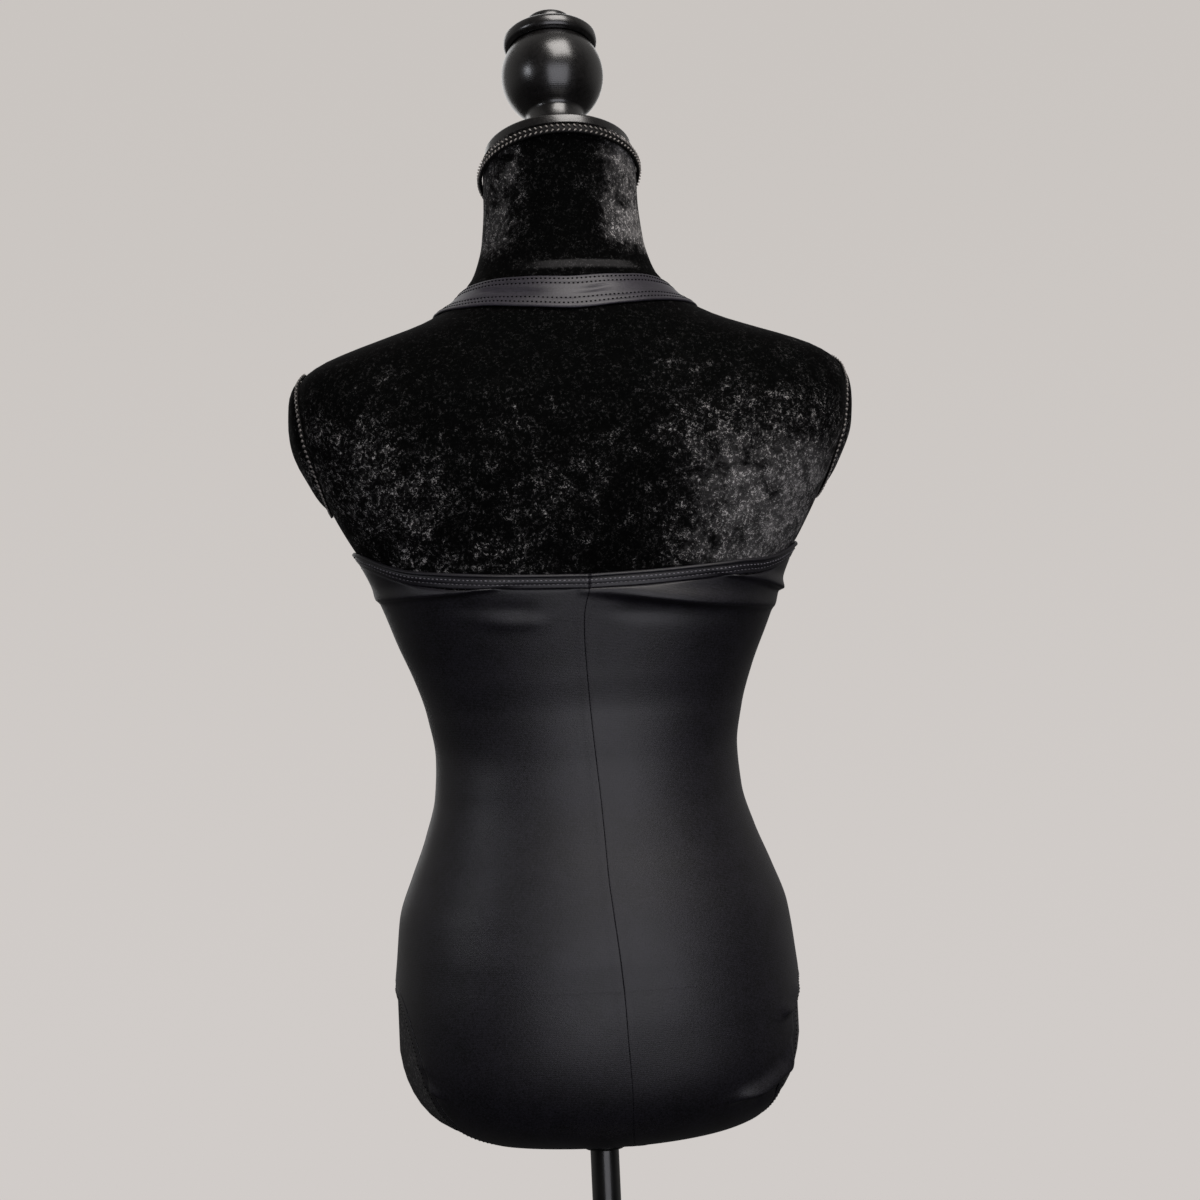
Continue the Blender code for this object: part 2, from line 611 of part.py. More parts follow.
def front_top_line():
    """Column angles and heights of the front panel's top line, from the left side seam to the right one."""
    arm_angles, arm_heights = even_line(FRONT_ARM, ARM_COLUMNS)
    neck_angles, neck_heights = even_line(FRONT_NECK, NECK_COLUMNS)
    angles = np.concatenate([arm_angles, neck_angles])
    heights = np.concatenate([arm_heights, neck_heights])
    return np.concatenate([angles, math.pi - angles[-2::-1]]), np.concatenate([heights, heights[-2::-1]])


def front_grid():
    """Surface points of the front panel, from the crotch to its top line and from the left side to the right."""
    top_angles, top_heights = front_top_line()
    share = top_angles / math.pi

    def angles(part, at):
        left, right = leg_angle(1, part, at), leg_angle(-1, part, at)
        return left + (right - left) * share

    rows = [under_row(angles("under", turn), turn) for turn in FRONT_TURNS]
    for height in (*LEG_HEIGHTS[::-1], *FRONT_HEIGHTS[::-1]):
        rows.append(level_row(angles("front", height), height, -1.0))
    for climb in FRONT_CLIMB:
        heights = FRONT_HEIGHTS[0] + (top_heights - FRONT_HEIGHTS[0]) * climb
        rows.append(level_row(top_angles, heights, -1.0))
    return np.array(rows)


def band_grid(line, outside, wrap=False, spanned=False):
    """Three lines of surface points for a folded band: the line given, and two more that go out past it."""
    if wrap:
        run = np.roll(line, -1, axis=0) - np.roll(line, 1, axis=0)
    else:
        run = np.gradient(line, axis=0)
    run /= np.linalg.norm(run, axis=-1, keepdims=True)
    out = np.cross(run, normals_at(line, spanned))
    out *= np.sign((out * (outside - line)).sum(-1).mean())
    steps = [line]
    for share in (0.5, 1.0):
        steps.append(settle(line + out * BAND_WIDTH * share, spanned))
    return np.array(steps)


def make_bands(left, right, front):
    """The folded bands along every edge, on the outside of the panels' lines."""
    up = np.array([0.0, 0.0, 1.0])
    for label, side in (("left", 1), ("right", -1)):
        grid = back_top_rows(side, (BAND_WIDTH, BAND_WIDTH / 2, 0.0))
        wall("leotard_back_band_" + label, grid, CLEAR, CLEAR + BAND_CLOTH, "leotard")
    top = front[-1]
    last = len(top) - 1
    for label, line in (("left", top[:ARM_COLUMNS]), ("right", top[last - ARM_COLUMNS + 1:][::-1])):
        bands = band_grid(line, line + up, spanned=True)
        wall("leotard_arm_band_" + label, bands, CLEAR, CLEAR + BAND_CLOTH, "leotard", spanned=True)
    line = top[ARM_COLUMNS: last - ARM_COLUMNS + 1]
    bands = band_grid(line, line + up, spanned=True)
    wall("leotard_neck_band", bands, CLEAR, CLEAR + BAND_CLOTH, "leotard", spanned=True)
    first = len(BACK_TOP_DROPS) + len(BACK_HEIGHTS)
    front_first = len(FRONT_TURNS) + len(LEG_HEIGHTS)
    for label, back, edge in (("left", left, 0), ("right", right, -1)):
        down = back[first:, -1]
        up_front = front[1: front_first - 1, edge]
        line = np.concatenate([down, up_front])
        hole = line.mean(axis=0)
        wall("leotard_leg_band_" + label, band_grid(line, hole, wrap=True), CLEAR, CLEAR + BAND_CLOTH,
             "leotard", wrap=True)


def strap_grid():
    """Surface points of the neck strap, across its width and along it from one side of the front to the other."""
    half = np.array(STRAP_LINE)
    line = np.concatenate([half, (half * (-1, 1, 1))[-2::-1]])
    along = np.concatenate([[0], np.cumsum(np.linalg.norm(np.diff(line, axis=0), axis=1))])
    at = np.linspace(0, along[-1], STRAP_ROWS)
    line = settle(np.stack([smooth(at, along, line[:, k]) for k in range(3)], axis=-1))
    run = np.gradient(line, axis=0)
    run /= np.linalg.norm(run, axis=-1, keepdims=True)
    cross = np.cross(run, normals_at(line))
    return np.array([settle(line + cross * STRAP_WIDTH * share) for share in (-0.5, -0.25, 0.0, 0.25, 0.5)])


def make_leotard():
    left, right, front = back_grid(1), back_grid(-1), front_grid()
    wall("leotard_back_left", left, CLEAR, CLEAR + CLOTH, "leotard")
    wall("leotard_back_right", right, CLEAR, CLEAR + CLOTH, "leotard")
    wall("leotard_front", front, CLEAR, CLEAR + CLOTH, "leotard", spanned=True)
    make_bands(left, right, front)
    wall("leotard_neck_strap", strap_grid(), STRAP_CLEAR, STRAP_CLEAR + STRAP_CLOTH, "leotard")


def main():
    for obj in list(bpy.data.objects):
        bpy.data.objects.remove(obj)
    make_stand()
    make_form()
    for side, label in ((1, "left"), (-1, "right")):
        make_arm(side, label)
    make_neck()
    make_leotard()


main()
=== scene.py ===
import math
import bmesh
import bpy
import numpy as np
from mathutils import Matrix, Vector


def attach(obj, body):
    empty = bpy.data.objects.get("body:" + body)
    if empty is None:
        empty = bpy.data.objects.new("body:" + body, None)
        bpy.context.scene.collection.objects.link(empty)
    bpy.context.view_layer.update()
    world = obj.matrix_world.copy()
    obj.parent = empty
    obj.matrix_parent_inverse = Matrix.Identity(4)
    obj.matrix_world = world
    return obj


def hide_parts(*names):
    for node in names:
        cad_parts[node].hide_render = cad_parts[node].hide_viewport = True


# Halter dance leotard in black stretch knit, on a limbless velvet dress form with a turned finial.
# Metres, +Z up. The back faces +Y and the wearer's left is +X.

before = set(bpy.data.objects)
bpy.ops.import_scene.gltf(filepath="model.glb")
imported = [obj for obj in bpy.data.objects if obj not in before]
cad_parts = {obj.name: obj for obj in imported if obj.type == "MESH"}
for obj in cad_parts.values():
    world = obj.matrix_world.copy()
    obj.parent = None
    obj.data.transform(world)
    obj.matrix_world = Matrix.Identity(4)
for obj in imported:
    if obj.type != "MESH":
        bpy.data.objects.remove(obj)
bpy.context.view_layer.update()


# The form's shape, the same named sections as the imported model
# height, half width, back, front, middle, power of the outline
formSections = np.array((
    (0.4535, 0.1545, 0.114, 0.104, 0.000, 2.30),
    (0.550, 0.1543, 0.115, 0.106, 0.000, 2.30),
    (0.593, 0.1506, 0.113, 0.108, 0.000, 2.25),
    (0.624, 0.1464, 0.107, 0.109, 0.000, 2.20),
    (0.655, 0.1352, 0.098, 0.107, 0.000, 2.15),
    (0.685, 0.1235, 0.088, 0.102, 0.000, 2.15),
    (0.716, 0.1148, 0.080, 0.096, 0.000, 2.15),
    (0.747, 0.1128, 0.076, 0.092, 0.000, 2.15),
    (0.778, 0.1177, 0.076, 0.091, 0.000, 2.20),
    (0.808, 0.1272, 0.080, 0.094, 0.000, 2.25),
    (0.839, 0.1396, 0.086, 0.099, 0.000, 2.30),
    (0.870, 0.1516, 0.092, 0.104, 0.000, 2.40),
    (0.893, 0.1618, 0.096, 0.106, 0.000, 2.55),
    (0.906, 0.1700, 0.098, 0.106, 0.000, 2.60),
    (0.931, 0.1835, 0.101, 0.104, 0.000, 2.75),
    (0.962, 0.1975, 0.103, 0.098, 0.000, 3.00),
    (0.993, 0.2075, 0.101, 0.090, 0.000, 3.20),
    (1.020, 0.2100, 0.096, 0.081, -0.001, 3.10),
    (1.032, 0.2085, 0.091, 0.076, -0.002, 2.90),
    (1.041, 0.2030, 0.087, 0.072, -0.003, 2.75),
    (1.049, 0.1920, 0.083, 0.069, -0.005, 2.60),
    (1.056, 0.1760, 0.079, 0.066, -0.006, 2.50),
    (1.066, 0.1480, 0.074, 0.062, -0.008, 2.35),
    (1.079, 0.1130, 0.067, 0.059, -0.011, 2.20),
    (1.093, 0.0885, 0.059, 0.060, -0.013, 2.10),
    (1.107, 0.0755, 0.052, 0.063, -0.015, 2.05),
    (1.122, 0.0677, 0.047, 0.068, -0.017, 2.00),
    (1.142, 0.0622, 0.043, 0.074, -0.019, 2.00),
    (1.172, 0.0597, 0.0405, 0.0785, -0.019, 2.00),
    (1.250, 0.0597, 0.0405, 0.0785, -0.019, 2.00)))

form = {
    "bottom": 0.4535,
    "roundStart": 0.570,       # the height where the sides begin to turn under
    "roundPower": 3.7,
    "bust": {"height": 0.905, "out": 0.072, "deep": 0.030, "wide": 0.052, "above": 0.060, "below": 0.042},
    "spanDip": 0.10,           # how far cloth sinks where it spans between the two sides
    "neckTop": 1.2025,
    "neckTilt": math.radians(19.5),
    "neckCentreY": -0.019,
    "neckBase": 1.105,
    "turnHeight": 0.545,       # the centre height that the rows under the form turn about
    "columnPower": 2.4,
}


# Curves and the form's surface

def curveSlopes(xs, ys):
    secants = np.diff(ys) / np.diff(xs)
    inner = np.zeros(len(xs) - 2)
    same = secants[:-1] * secants[1:] > 0
    inner[same] = 2 * secants[:-1][same] * secants[1:][same] / (secants[:-1] + secants[1:])[same]
    return np.concatenate([[secants[0]], inner, [secants[-1]]])


def smoothCurve(at, xs, ys):
    xs, ys = np.asarray(xs, float), np.asarray(ys, float)
    slopes = curveSlopes(xs, ys)
    at = np.clip(at, xs[0], xs[-1])
    i = np.clip(np.searchsorted(xs, at, side="right") - 1, 0, len(xs) - 2)
    step = xs[i + 1] - xs[i]
    t = (at - xs[i]) / step
    rise = t * t * (3 - 2 * t)
    return ys[i] + (ys[i + 1] - ys[i]) * rise + step * t * (1 - t) * ((1 - t) * slopes[i] - t * slopes[i + 1])


def column(rows, index):
    return [row[index] for row in rows]


def smoothStep(low, high, value):
    t = np.clip((value - low) / (high - low), 0, 1)
    return t * t * (3 - 2 * t)


def sectionAt(name, heights):
    index = ("height", "halfWidth", "back", "front", "middle", "power").index(name)
    return smoothCurve(heights, formSections[:, 0], formSections[:, index])


def bustRise(across, heights, spanned):
    bust = form["bust"]
    rise = heights - bust["height"]
    spread = np.where(rise > 0, bust["above"], bust["below"])
    side = (np.exp(-(((across - bust["out"]) / bust["wide"]) ** 2))
            + np.exp(-(((across + bust["out"]) / bust["wide"]) ** 2)))
    if spanned:
        share = np.clip(np.abs(across) / bust["out"], 0, 1)
        side = np.where(share < 1, 1 - form["spanDip"] * (1 - share**2) ** 2, side)
    return bust["deep"] * np.exp(-((rise / spread) ** 2)) * side


def sectionDepth(across, depths, heights, spanned):
    middle = sectionAt("middle", heights)
    back = sectionAt("back", heights) - middle
    front = sectionAt("front", heights) + middle + bustRise(across, heights, spanned)
    return np.where(depths > middle, back, front)


def formLevel(points, spanned=False):      # under zero inside the form and over zero outside
    x, y, z = np.moveaxis(points, -1, 0)
    power = sectionAt("power", z)
    wide = np.abs(x) / sectionAt("halfWidth", z)
    deep = np.abs(y - sectionAt("middle", z)) / sectionDepth(x, y, z, spanned)
    ring = (wide**power + deep**power) ** (1 / power)
    under = np.clip((form["roundStart"] - z) / (form["roundStart"] - form["bottom"]), 0, None)
    return (ring**form["roundPower"] + under**form["roundPower"]) ** (1 / form["roundPower"]) - 1


def slopeAt(points, spanned=False):
    step = 1e-5
    return np.stack([(formLevel(points + move, spanned) - formLevel(points - move, spanned)) / (2 * step)
                     for move in np.eye(3) * step], axis=-1)


def normalsAt(points, spanned=False):
    slope = slopeAt(points, spanned)
    return slope / np.linalg.norm(slope, axis=-1, keepdims=True)


def castOut(starts, directions, spanned=False):
    starts, directions = np.broadcast_arrays(starts, directions)
    near, far = np.zeros(starts.shape[:-1]), np.full(starts.shape[:-1], 0.30)
    for _ in range(34):
        half = (near + far) / 2
        inside = formLevel(starts + directions * half[..., None], spanned) < 0
        near, far = np.where(inside, half, near), np.where(inside, far, half)
    return starts + directions * near[..., None]


def settle(points, spanned=False, rounds=5):
    for _ in range(rounds):
        slope = slopeAt(points, spanned)
        points = points - slope * (formLevel(points, spanned) / (slope**2).sum(-1))[..., None]
    return points


def angleOf(across, halfWidth):
    power = form["columnPower"]
    share = np.clip(np.abs(across) / halfWidth, 0, 1)
    angle = np.arctan2((1 - share**power) ** (1 / power), share)
    return np.where(np.asarray(across) < 0, math.pi - angle, angle)


def acrossAt(angles, halfWidth):
    power = form["columnPower"]
    c, s = np.cos(angles), np.sin(angles)
    return halfWidth * c / (np.abs(c) ** power + np.abs(s) ** power) ** (1 / power)


def levelRow(angles, heights, toward):      # a row round the back (1) or the front (-1)
    angles, heights = np.broadcast_arrays(angles, np.asarray(heights, float))
    across = acrossAt(angles, sectionAt("halfWidth", heights))
    starts = np.stack([across, sectionAt("middle", heights), heights], axis=-1)
    return castOut(starts, np.array([0.0, toward, 0.0]), spanned=True)


def underRow(angles, turn):      # a row under the form, turned down from the back by that many degrees
    angles = np.asarray(angles, float)
    across = acrossAt(angles, sectionAt("halfWidth", form["turnHeight"]))
    starts = np.stack([across, np.zeros_like(across), np.full_like(across, form["turnHeight"])], axis=-1)
    return castOut(starts, np.array([0.0, math.cos(math.radians(turn)), -math.sin(math.radians(turn))]))


# Dense rows of points through coarse ones

def runLengths(points, axis):
    steps = np.linalg.norm(np.diff(points, axis=axis), axis=-1)
    other = 1 - axis
    mean = steps.mean(axis=other) if points.ndim == 3 else steps
    return np.concatenate([[0], np.cumsum(mean)])


def resample(points, count, axis=0, closed=False):
    points = np.moveaxis(points, axis, 0)
    if closed:
        points = np.concatenate([points[-3:], points, points[:4]])
    at = runLengths(points, 0)
    secants = np.diff(points, axis=0)
    before, after = secants[:-1], secants[1:]
    # slopes that never overshoot, so that uneven rows don't fold over
    together = np.where(before * after > 0, before + after, 1.0)
    inner = np.where(before * after > 0, 2 * before * after / together, 0.0)
    slopes = np.concatenate([secants[:1], inner, secants[-1:]])
    low, high = (at[3], at[-4]) if closed else (at[0], at[-1])
    places = np.interp(np.linspace(low, high, count), at, np.arange(len(at)))
    i = np.clip(places.astype(int), 0, len(at) - 2)
    t = (places - i).reshape((-1,) + (1,) * (points.ndim - 1))
    made = ((2 * t**3 - 3 * t**2 + 1) * points[i] + (t**3 - 2 * t**2 + t) * slopes[i]
            + (3 * t**2 - 2 * t**3) * points[i + 1] + (t**3 - t**2) * slopes[i + 1])
    return np.moveaxis(made, 0, axis)


def denseGrid(grid, cell, spanned=False):
    rows = int(runLengths(grid, 0)[-1] / cell) + 2
    columns = int(runLengths(grid, 1)[-1] / cell) + 2
    fine = resample(resample(grid, rows, 0), columns, 1)
    return settle(fine, spanned)


# Mesh and object helpers

def finishPiece(name, bm, material, replaced=()):
    bmesh.ops.recalc_face_normals(bm, faces=bm.faces)
    mesh = bpy.data.meshes.new(name)
    bm.to_mesh(mesh)
    bm.free()
    mesh.shade_smooth()
    mesh.materials.append(material)
    piece = bpy.data.objects.new(name, mesh)
    bpy.context.scene.collection.objects.link(piece)
    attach(piece, "root")
    if replaced:
        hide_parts(*replaced)
    return piece


def lengthsAcross(points):      # each point's length along its row
    steps = np.linalg.norm(np.diff(points, axis=1), axis=-1)
    return np.concatenate([np.zeros((len(points), 1)), np.cumsum(steps, axis=1)], axis=1)


def clothMesh(points, weld=0.0):
    # a flat grid of the right number of cells, laid on the points, with its cloth lengths as UV in metres
    rows, columns = points.shape[:2]
    bm = bmesh.new()
    bmesh.ops.create_grid(bm, x_segments=columns - 1, y_segments=rows - 1, size=1.0)
    bm.verts.ensure_lookup_table()
    down = np.tile(runLengths(points, 0)[:, None], (1, columns))
    uvLayer = bm.loops.layers.uv.new("cloth")
    flatPoints = points.reshape(-1, 3)
    flatAcross, flatDown = lengthsAcross(points).reshape(-1), down.reshape(-1)
    for vert in bm.verts:
        vert.co = flatPoints[vert.index]
    for face in bm.faces:
        for loop in face.loops:
            loop[uvLayer].uv = (flatAcross[loop.vert.index], flatDown[loop.vert.index])
    if weld:
        bmesh.ops.remove_doubles(bm, verts=bm.verts, dist=weld)
    return bm


def faceOutward(piece, outwardPoint, outward):
    # an open sheet's faces are turned to the side that the cloth shows
    mesh = piece.data
    nearest = min(mesh.polygons, key=lambda face: (face.center - Vector(outwardPoint)).length)
    if nearest.normal.dot(Vector(outward)) < 0:
        mesh.flip_normals()


def thicken(piece, thickness):
    wall = piece.modifiers.new("cloth thickness", "SOLIDIFY")
    wall.thickness = thickness
    wall.offset = -1
    wall.use_even_offset = True


def directionsAlong(line, wrap=False):
    run = np.roll(line, -1, axis=0) - np.roll(line, 1, axis=0) if wrap else np.gradient(line, axis=0)
    return run / np.linalg.norm(run, axis=-1, keepdims=True)


def placeOn(rows, at, place):      # where a line is after that much of its length
    return Vector([np.interp(place, at, rows[:, k]) for k in range(3)])


# Material helpers

def sRgb(hexColour):      # an sRGB hex colour as linear RGBA
    parts = [int(hexColour[i:i + 2], 16) / 255 for i in (1, 3, 5)]
    return (*[p / 12.92 if p <= 0.04045 else ((p + 0.055) / 1.055) ** 2.4 for p in parts], 1.0)


def addNode(owner, kind, settings=None, inputs=None, links=None):
    node = owner.node_tree.nodes.new(kind)
    for key, value in (settings or {}).items():
        setattr(node, key, value)
    for key, value in (inputs or {}).items():
        node.inputs[key].default_value = value
    for key, source in (links or {}).items():
        owner.node_tree.links.new(source, node.inputs[key])
    return node


def addNoise(owner, places, scale, detail, roughness=0.5, distortion=0.0):
    values = {"Scale": scale, "Detail": detail, "Roughness": roughness, "Distortion": distortion}
    return addNode(owner, "ShaderNodeTexNoise", inputs=values, links={"Vector": places}).outputs["Fac"]


def addWave(owner, places, direction, scale, distortion, detail, detailScale):
    values = {"Scale": scale, "Distortion": distortion, "Detail": detail, "Detail Scale": detailScale}
    return addNode(owner, "ShaderNodeTexWave", {"bands_direction": direction}, values,
                   {"Vector": places}).outputs["Fac"]


def addMaths(owner, operation, first, *others):      # along its values, each a number or a node's output
    for other in others or (0.0,):
        node = addNode(owner, "ShaderNodeMath", {"operation": operation}, links={0: first})
        if isinstance(other, float):
            node.inputs[1].default_value = other
        else:
            owner.node_tree.links.new(other, node.inputs[1])
        first = node.outputs["Value"]
    return first


def addMix(owner, share, first, second):
    return addNode(owner, "ShaderNodeMix", {"data_type": "FLOAT"}, {"Factor": share},
                   {"A": first, "B": second}).outputs["Result"]


def addSpread(owner, source, low, high, atLow=0.0, atHigh=1.0):      # eased from low to high
    values = {"From Min": low, "From Max": high, "To Min": atLow, "To Max": atHigh}
    return addNode(owner, "ShaderNodeMapRange", {"interpolation_type": "SMOOTHSTEP"}, values,
                   {"Value": source}).outputs["Result"]


def addRange(owner, source, low, high):
    return addNode(owner, "ShaderNodeMapRange", inputs={"To Min": low, "To Max": high},
                   links={"Value": source}).outputs["Result"]


def addBump(owner, source, strength, distance):
    return addNode(owner, "ShaderNodeBump", inputs={"Strength": strength, "Distance": distance},
                   links={"Height": source}).outputs["Normal"]


def addColours(owner, source, stops):      # each stop a place and a colour, or a share of white
    node = addNode(owner, "ShaderNodeValToRGB", links={"Fac": source})
    ramp = node.color_ramp
    while len(ramp.elements) < len(stops):
        ramp.elements.new(0.5)
    for element, (place, colour) in zip(ramp.elements, stops):
        element.position = place
        element.color = sRgb(colour) if isinstance(colour, str) else (colour, colour, colour, 1)
    return node.outputs["Color"]


def newMaterial(name, values):      # with its texture coordinates
    material = bpy.data.materials.new(name)
    material.use_nodes = True
    surface = material.node_tree.nodes["Principled BSDF"]
    for key, value in values.items():
        surface.inputs[key].default_value = value
    return material, addNode(material, "ShaderNodeTexCoord").outputs


def joinSurface(material, sources):
    surface = material.node_tree.nodes["Principled BSDF"]
    for key, source in sources.items():
        material.node_tree.links.new(source, surface.inputs[key])
    return material


def makeKnit(name, base, lighter, sheen):
    # Nylon and elastane warp knit, dyed black and heat set: a matte satin face with a dull sheen along the
    # turns. The real wales are about 0.5 mm apart. They are drawn 1.0 mm apart, to show as a fine grain.
    material, places = newMaterial(name, {"Roughness": 0.42, "Specular IOR Level": 0.47, "IOR": 1.50,
                                          "Sheen Weight": sheen, "Sheen Roughness": 0.38,
                                          "Sheen Tint": sRgb("#8f8c96")})
    grain = addNoise(material, places["Object"], 640.0, 3.0, 0.62, 0.6)
    soft = addNoise(material, places["Object"], 55.0, 3.0)
    wales = addWave(material, places["UV"], "X", 314.0, 1.2, 1.0, 2.0)
    courses = addWave(material, places["UV"], "Y", 240.0, 1.6, 1.0, 2.0)
    mixed = addMix(material, 0.22, grain, addMaths(material, "MULTIPLY", wales, courses))
    shade = addMix(material, 0.22, mixed, soft)
    return joinSurface(material, {"Base Color": addColours(material, shade, ((0.36, base), (0.56, lighter))),
                                  "Roughness": addRange(material, grain, 0.38, 0.54),
                                  "Normal": addBump(material, mixed, 0.45, 0.00030)})


def makeVelvet():
    # Crushed polyester velvet, stretched over a foam form: the standing pile swallows light, and where it was
    # pressed flat it shows grey in short curls. Real tufts are under 0.3 mm.
    # The curls are drawn 1 mm wide, so that they show.
    material, places = newMaterial("crushedVelvet", {"Roughness": 0.85, "Specular IOR Level": 0.03,
                                                     "Sheen Weight": 0.022, "Sheen Roughness": 0.30,
                                                     "Sheen Tint": sRgb("#b4b2b2")})
    x, y, z = addNode(material, "ShaderNodeSeparateXYZ", links={"Vector": places["Object"]}).outputs

    def noise(*values):
        return addNoise(material, places["Object"], *values)

    def spread(*values):
        return addSpread(material, *values)

    def times(*sources):
        return addMaths(material, "MULTIPLY", *sources)

    def plus(*sources):
        return addMaths(material, "ADD", *sources)

    # the pile was pressed most over the lower back, down the right side and on both sides of the neck; the
    # neck's masks also carry its sides' painted sheen
    lowBack = spread(z, 1.07, 0.92, -0.13, 0.06)
    body = times(spread(z, 1.06, 0.97), spread(z, 0.70, 0.78))
    right = times(spread(x, -0.02, -0.11, 0.0, 0.24), body)
    left = times(spread(x, 0.06, 0.16, 0.0, 0.20), body)
    low = spread(z, 0.80, 0.70, 0.0, -0.6)
    neck = spread(z, 1.115, 1.14)
    neckRight = times(spread(x, -0.006, -0.050, 0.0, 0.55), neck)
    neckLeft = times(spread(x, 0.014, 0.056, 0.0, 0.40), neck)
    collar = times(spread(z, 1.1105, 1.1140, 0.0, 0.22), spread(z, 1.1200, 1.1175),
                   spread(y, 0.020, 0.040), spread(x, 0.046, 0.010))
    blotches = plus(noise(16.0, 5.0, 0.62, 0.5), noise(80.0, 4.0, 0.62, 0.5))
    pressed = spread(plus(blotches, lowBack, right, left, low, neckRight, neckLeft), 0.88, 1.46)
    tufts = spread(noise(170.0, 3.0, 0.6, 0.8), 0.34, 0.66, 0.30, 1.0)
    ridge = addMaths(material, "ABSOLUTE", addMaths(material, "SUBTRACT", noise(230.0, 2.5, 0.62, 1.8), 0.5))
    curls = times(spread(ridge, 0.0, 0.042, 1.0, 0.0), spread(noise(380.0, 2.0), 0.44, 0.58))
    specks = spread(noise(900.0, 1.0), 0.65, 0.75, 0.0, 0.8)
    flecks = times(addMaths(material, "MAXIMUM", curls, specks), spread(pressed, 0.0, 1.0, 0.26, 0.90))
    # painted sheen, smooth grey for the pile's grazing sheen: the lowest part under the cloth's edge, the
    # lower right back, the neck's sides
    paintedSheenRightBack = times(spread(x, -0.05, -0.13, 0.0, 0.32), spread(z, 0.995, 0.945), pressed,
                    spread(z, 0.78, 0.84))
    paintedSheenNeckSides = times(plus(neckRight, neckLeft), pressed, 0.62)
    # its second term is the painted sheen of the lowest part, under the cloth's edge, without curls
    smooth = plus(paintedSheenRightBack, spread(z, 0.74, 0.66, 0.0, 0.40), paintedSheenNeckSides, collar)
    shade = plus(times(flecks, tufts), times(pressed, tufts, 0.20), smooth)
    stops = ((0.0, "#020202"), (0.10, "#0a0a0a"), (0.40, "#444343"), (1.0, "#c2bfbd"))
    return joinSurface(material, {"Base Color": addColours(material, shade, stops),
                                  "Normal": addBump(material, shade, 0.45, 0.0008)})


def makeBraidYarn():
    # Rayon braid yarn, plaited and steamed: a dull black cord, its plies 0.8 mm apart
    material, places = newMaterial("braidYarn", {"Specular IOR Level": 0.15, "Sheen Weight": 0.05,
                                                 "Sheen Roughness": 0.40, "Sheen Tint": sRgb("#8a8783")})
    plies = addNoise(material, places["Object"], 900.0, 3.0, 0.6)
    stops = ((0.30, "#050505"), (0.70, "#151413"))
    return joinSurface(material, {"Base Color": addColours(material, plies, stops),
                                  "Roughness": addRange(material, plies, 0.45, 0.70),
                                  "Normal": addBump(material, plies, 0.4, 0.0004)})


def makeThread(name, dark, light, lustre):
    # Spun polyester thread, dyed: a soft lustre on a raised stitch, next to none on one drawn into a hole
    # the thread's colours are painted light: a pale copy for the highlight on raised stitches, a near-black
    # one for the shade of needle holes
    material, places = newMaterial(name, {"Specular IOR Level": 0.45 * lustre, "Sheen Weight": 0.25 * lustre,
                                          "Sheen Roughness": 0.45, "Sheen Tint": sRgb("#9a97a0")})
    fibre = addNoise(material, places["Object"], 1500.0, 2.0)
    return joinSurface(material, {"Base Color": addColours(material, fibre, ((0.3, dark), (0.7, light))),
                                  "Roughness": addRange(material, fibre, 0.45, 0.65)})


def makeLacquer():
    # Beech turned on a lathe, sprayed with black lacquer: a clear gloss over faint turning rings, with small
    # chips that show pale wood. The rings are 1.2 mm apart, as left by the gouge.
    material, places = newMaterial("lacqueredBeech", {"Coat Weight": 0.60, "Coat Roughness": 0.22,
                                                      "Specular IOR Level": 0.5})
    neckTop = (0.0, form["neckCentreY"], form["neckTop"])
    axis = addNode(material, "ShaderNodeMapping", {"vector_type": "TEXTURE"},
                   {"Location": neckTop, "Rotation": (form["neckTilt"], 0.0, 0.0)},
                   {"Vector": places["Object"]})
    rings = addWave(material, axis.outputs["Vector"], "Z", 262.0, 0.8, 2.0, 1.5)
    dust = addNoise(material, places["Object"], 320.0, 4.0, 0.65)
    wear = addNoise(material, places["Object"], 130.0, 5.0, 0.7, 2.2)
    chips = addColours(material, wear, ((0.735, 0.0), (0.760, 1.0)))
    black = addColours(material, dust, ((0.35, "#0a0909"), (0.75, "#171515")))
    colour = addNode(material, "ShaderNodeMix", {"data_type": "RGBA"}, {7: sRgb("#8b837a")},
                     {"Factor": chips, 6: black})
    bump = addNode(material, "ShaderNodeBump", {"invert": True}, {"Strength": 0.5, "Distance": 0.0004},
                   {"Height": chips, "Normal": addBump(material, rings, 0.10, 0.0003)})
    return joinSurface(material, {"Base Color": colour.outputs[2], "Normal": bump.outputs["Normal"],
                                  "Roughness": addRange(material, dust, 0.20, 0.36)})


def makeSteel():
    # Steel tube and plate, powder coated gloss black: a fine orange peel of about 1.5 mm and handling marks
    material, places = newMaterial("coatedSteel", {"Coat Weight": 0.35, "Coat Roughness": 0.12,
                                                   "Specular IOR Level": 0.5})
    peel = addNoise(material, places["Object"], 650.0, 2.0)
    marks = addNoise(material, places["Object"], 40.0, 6.0, 0.7)
    stops = ((0.3, "#0b0b0b"), (0.8, "#191919"))
    return joinSurface(material, {"Base Color": addColours(material, marks, stops),
                                  "Roughness": addRange(material, marks, 0.22, 0.42),
                                  "Normal": addBump(material, peel, 0.12, 0.0002)})


bodyKnit = makeKnit("warpKnitBody", "#060508", "#1a181f", 0.03)
# the strap is the body's own cloth: its lighter copy of the knit is painted light, where the strap faces up
# to the lamps
strapKnitPaintedLight = makeKnit("warpKnitStrapPaintedLight", "#1d1b21", "#302c35", 0.12)
crushedVelvet = makeVelvet()
braidYarn = makeBraidYarn()
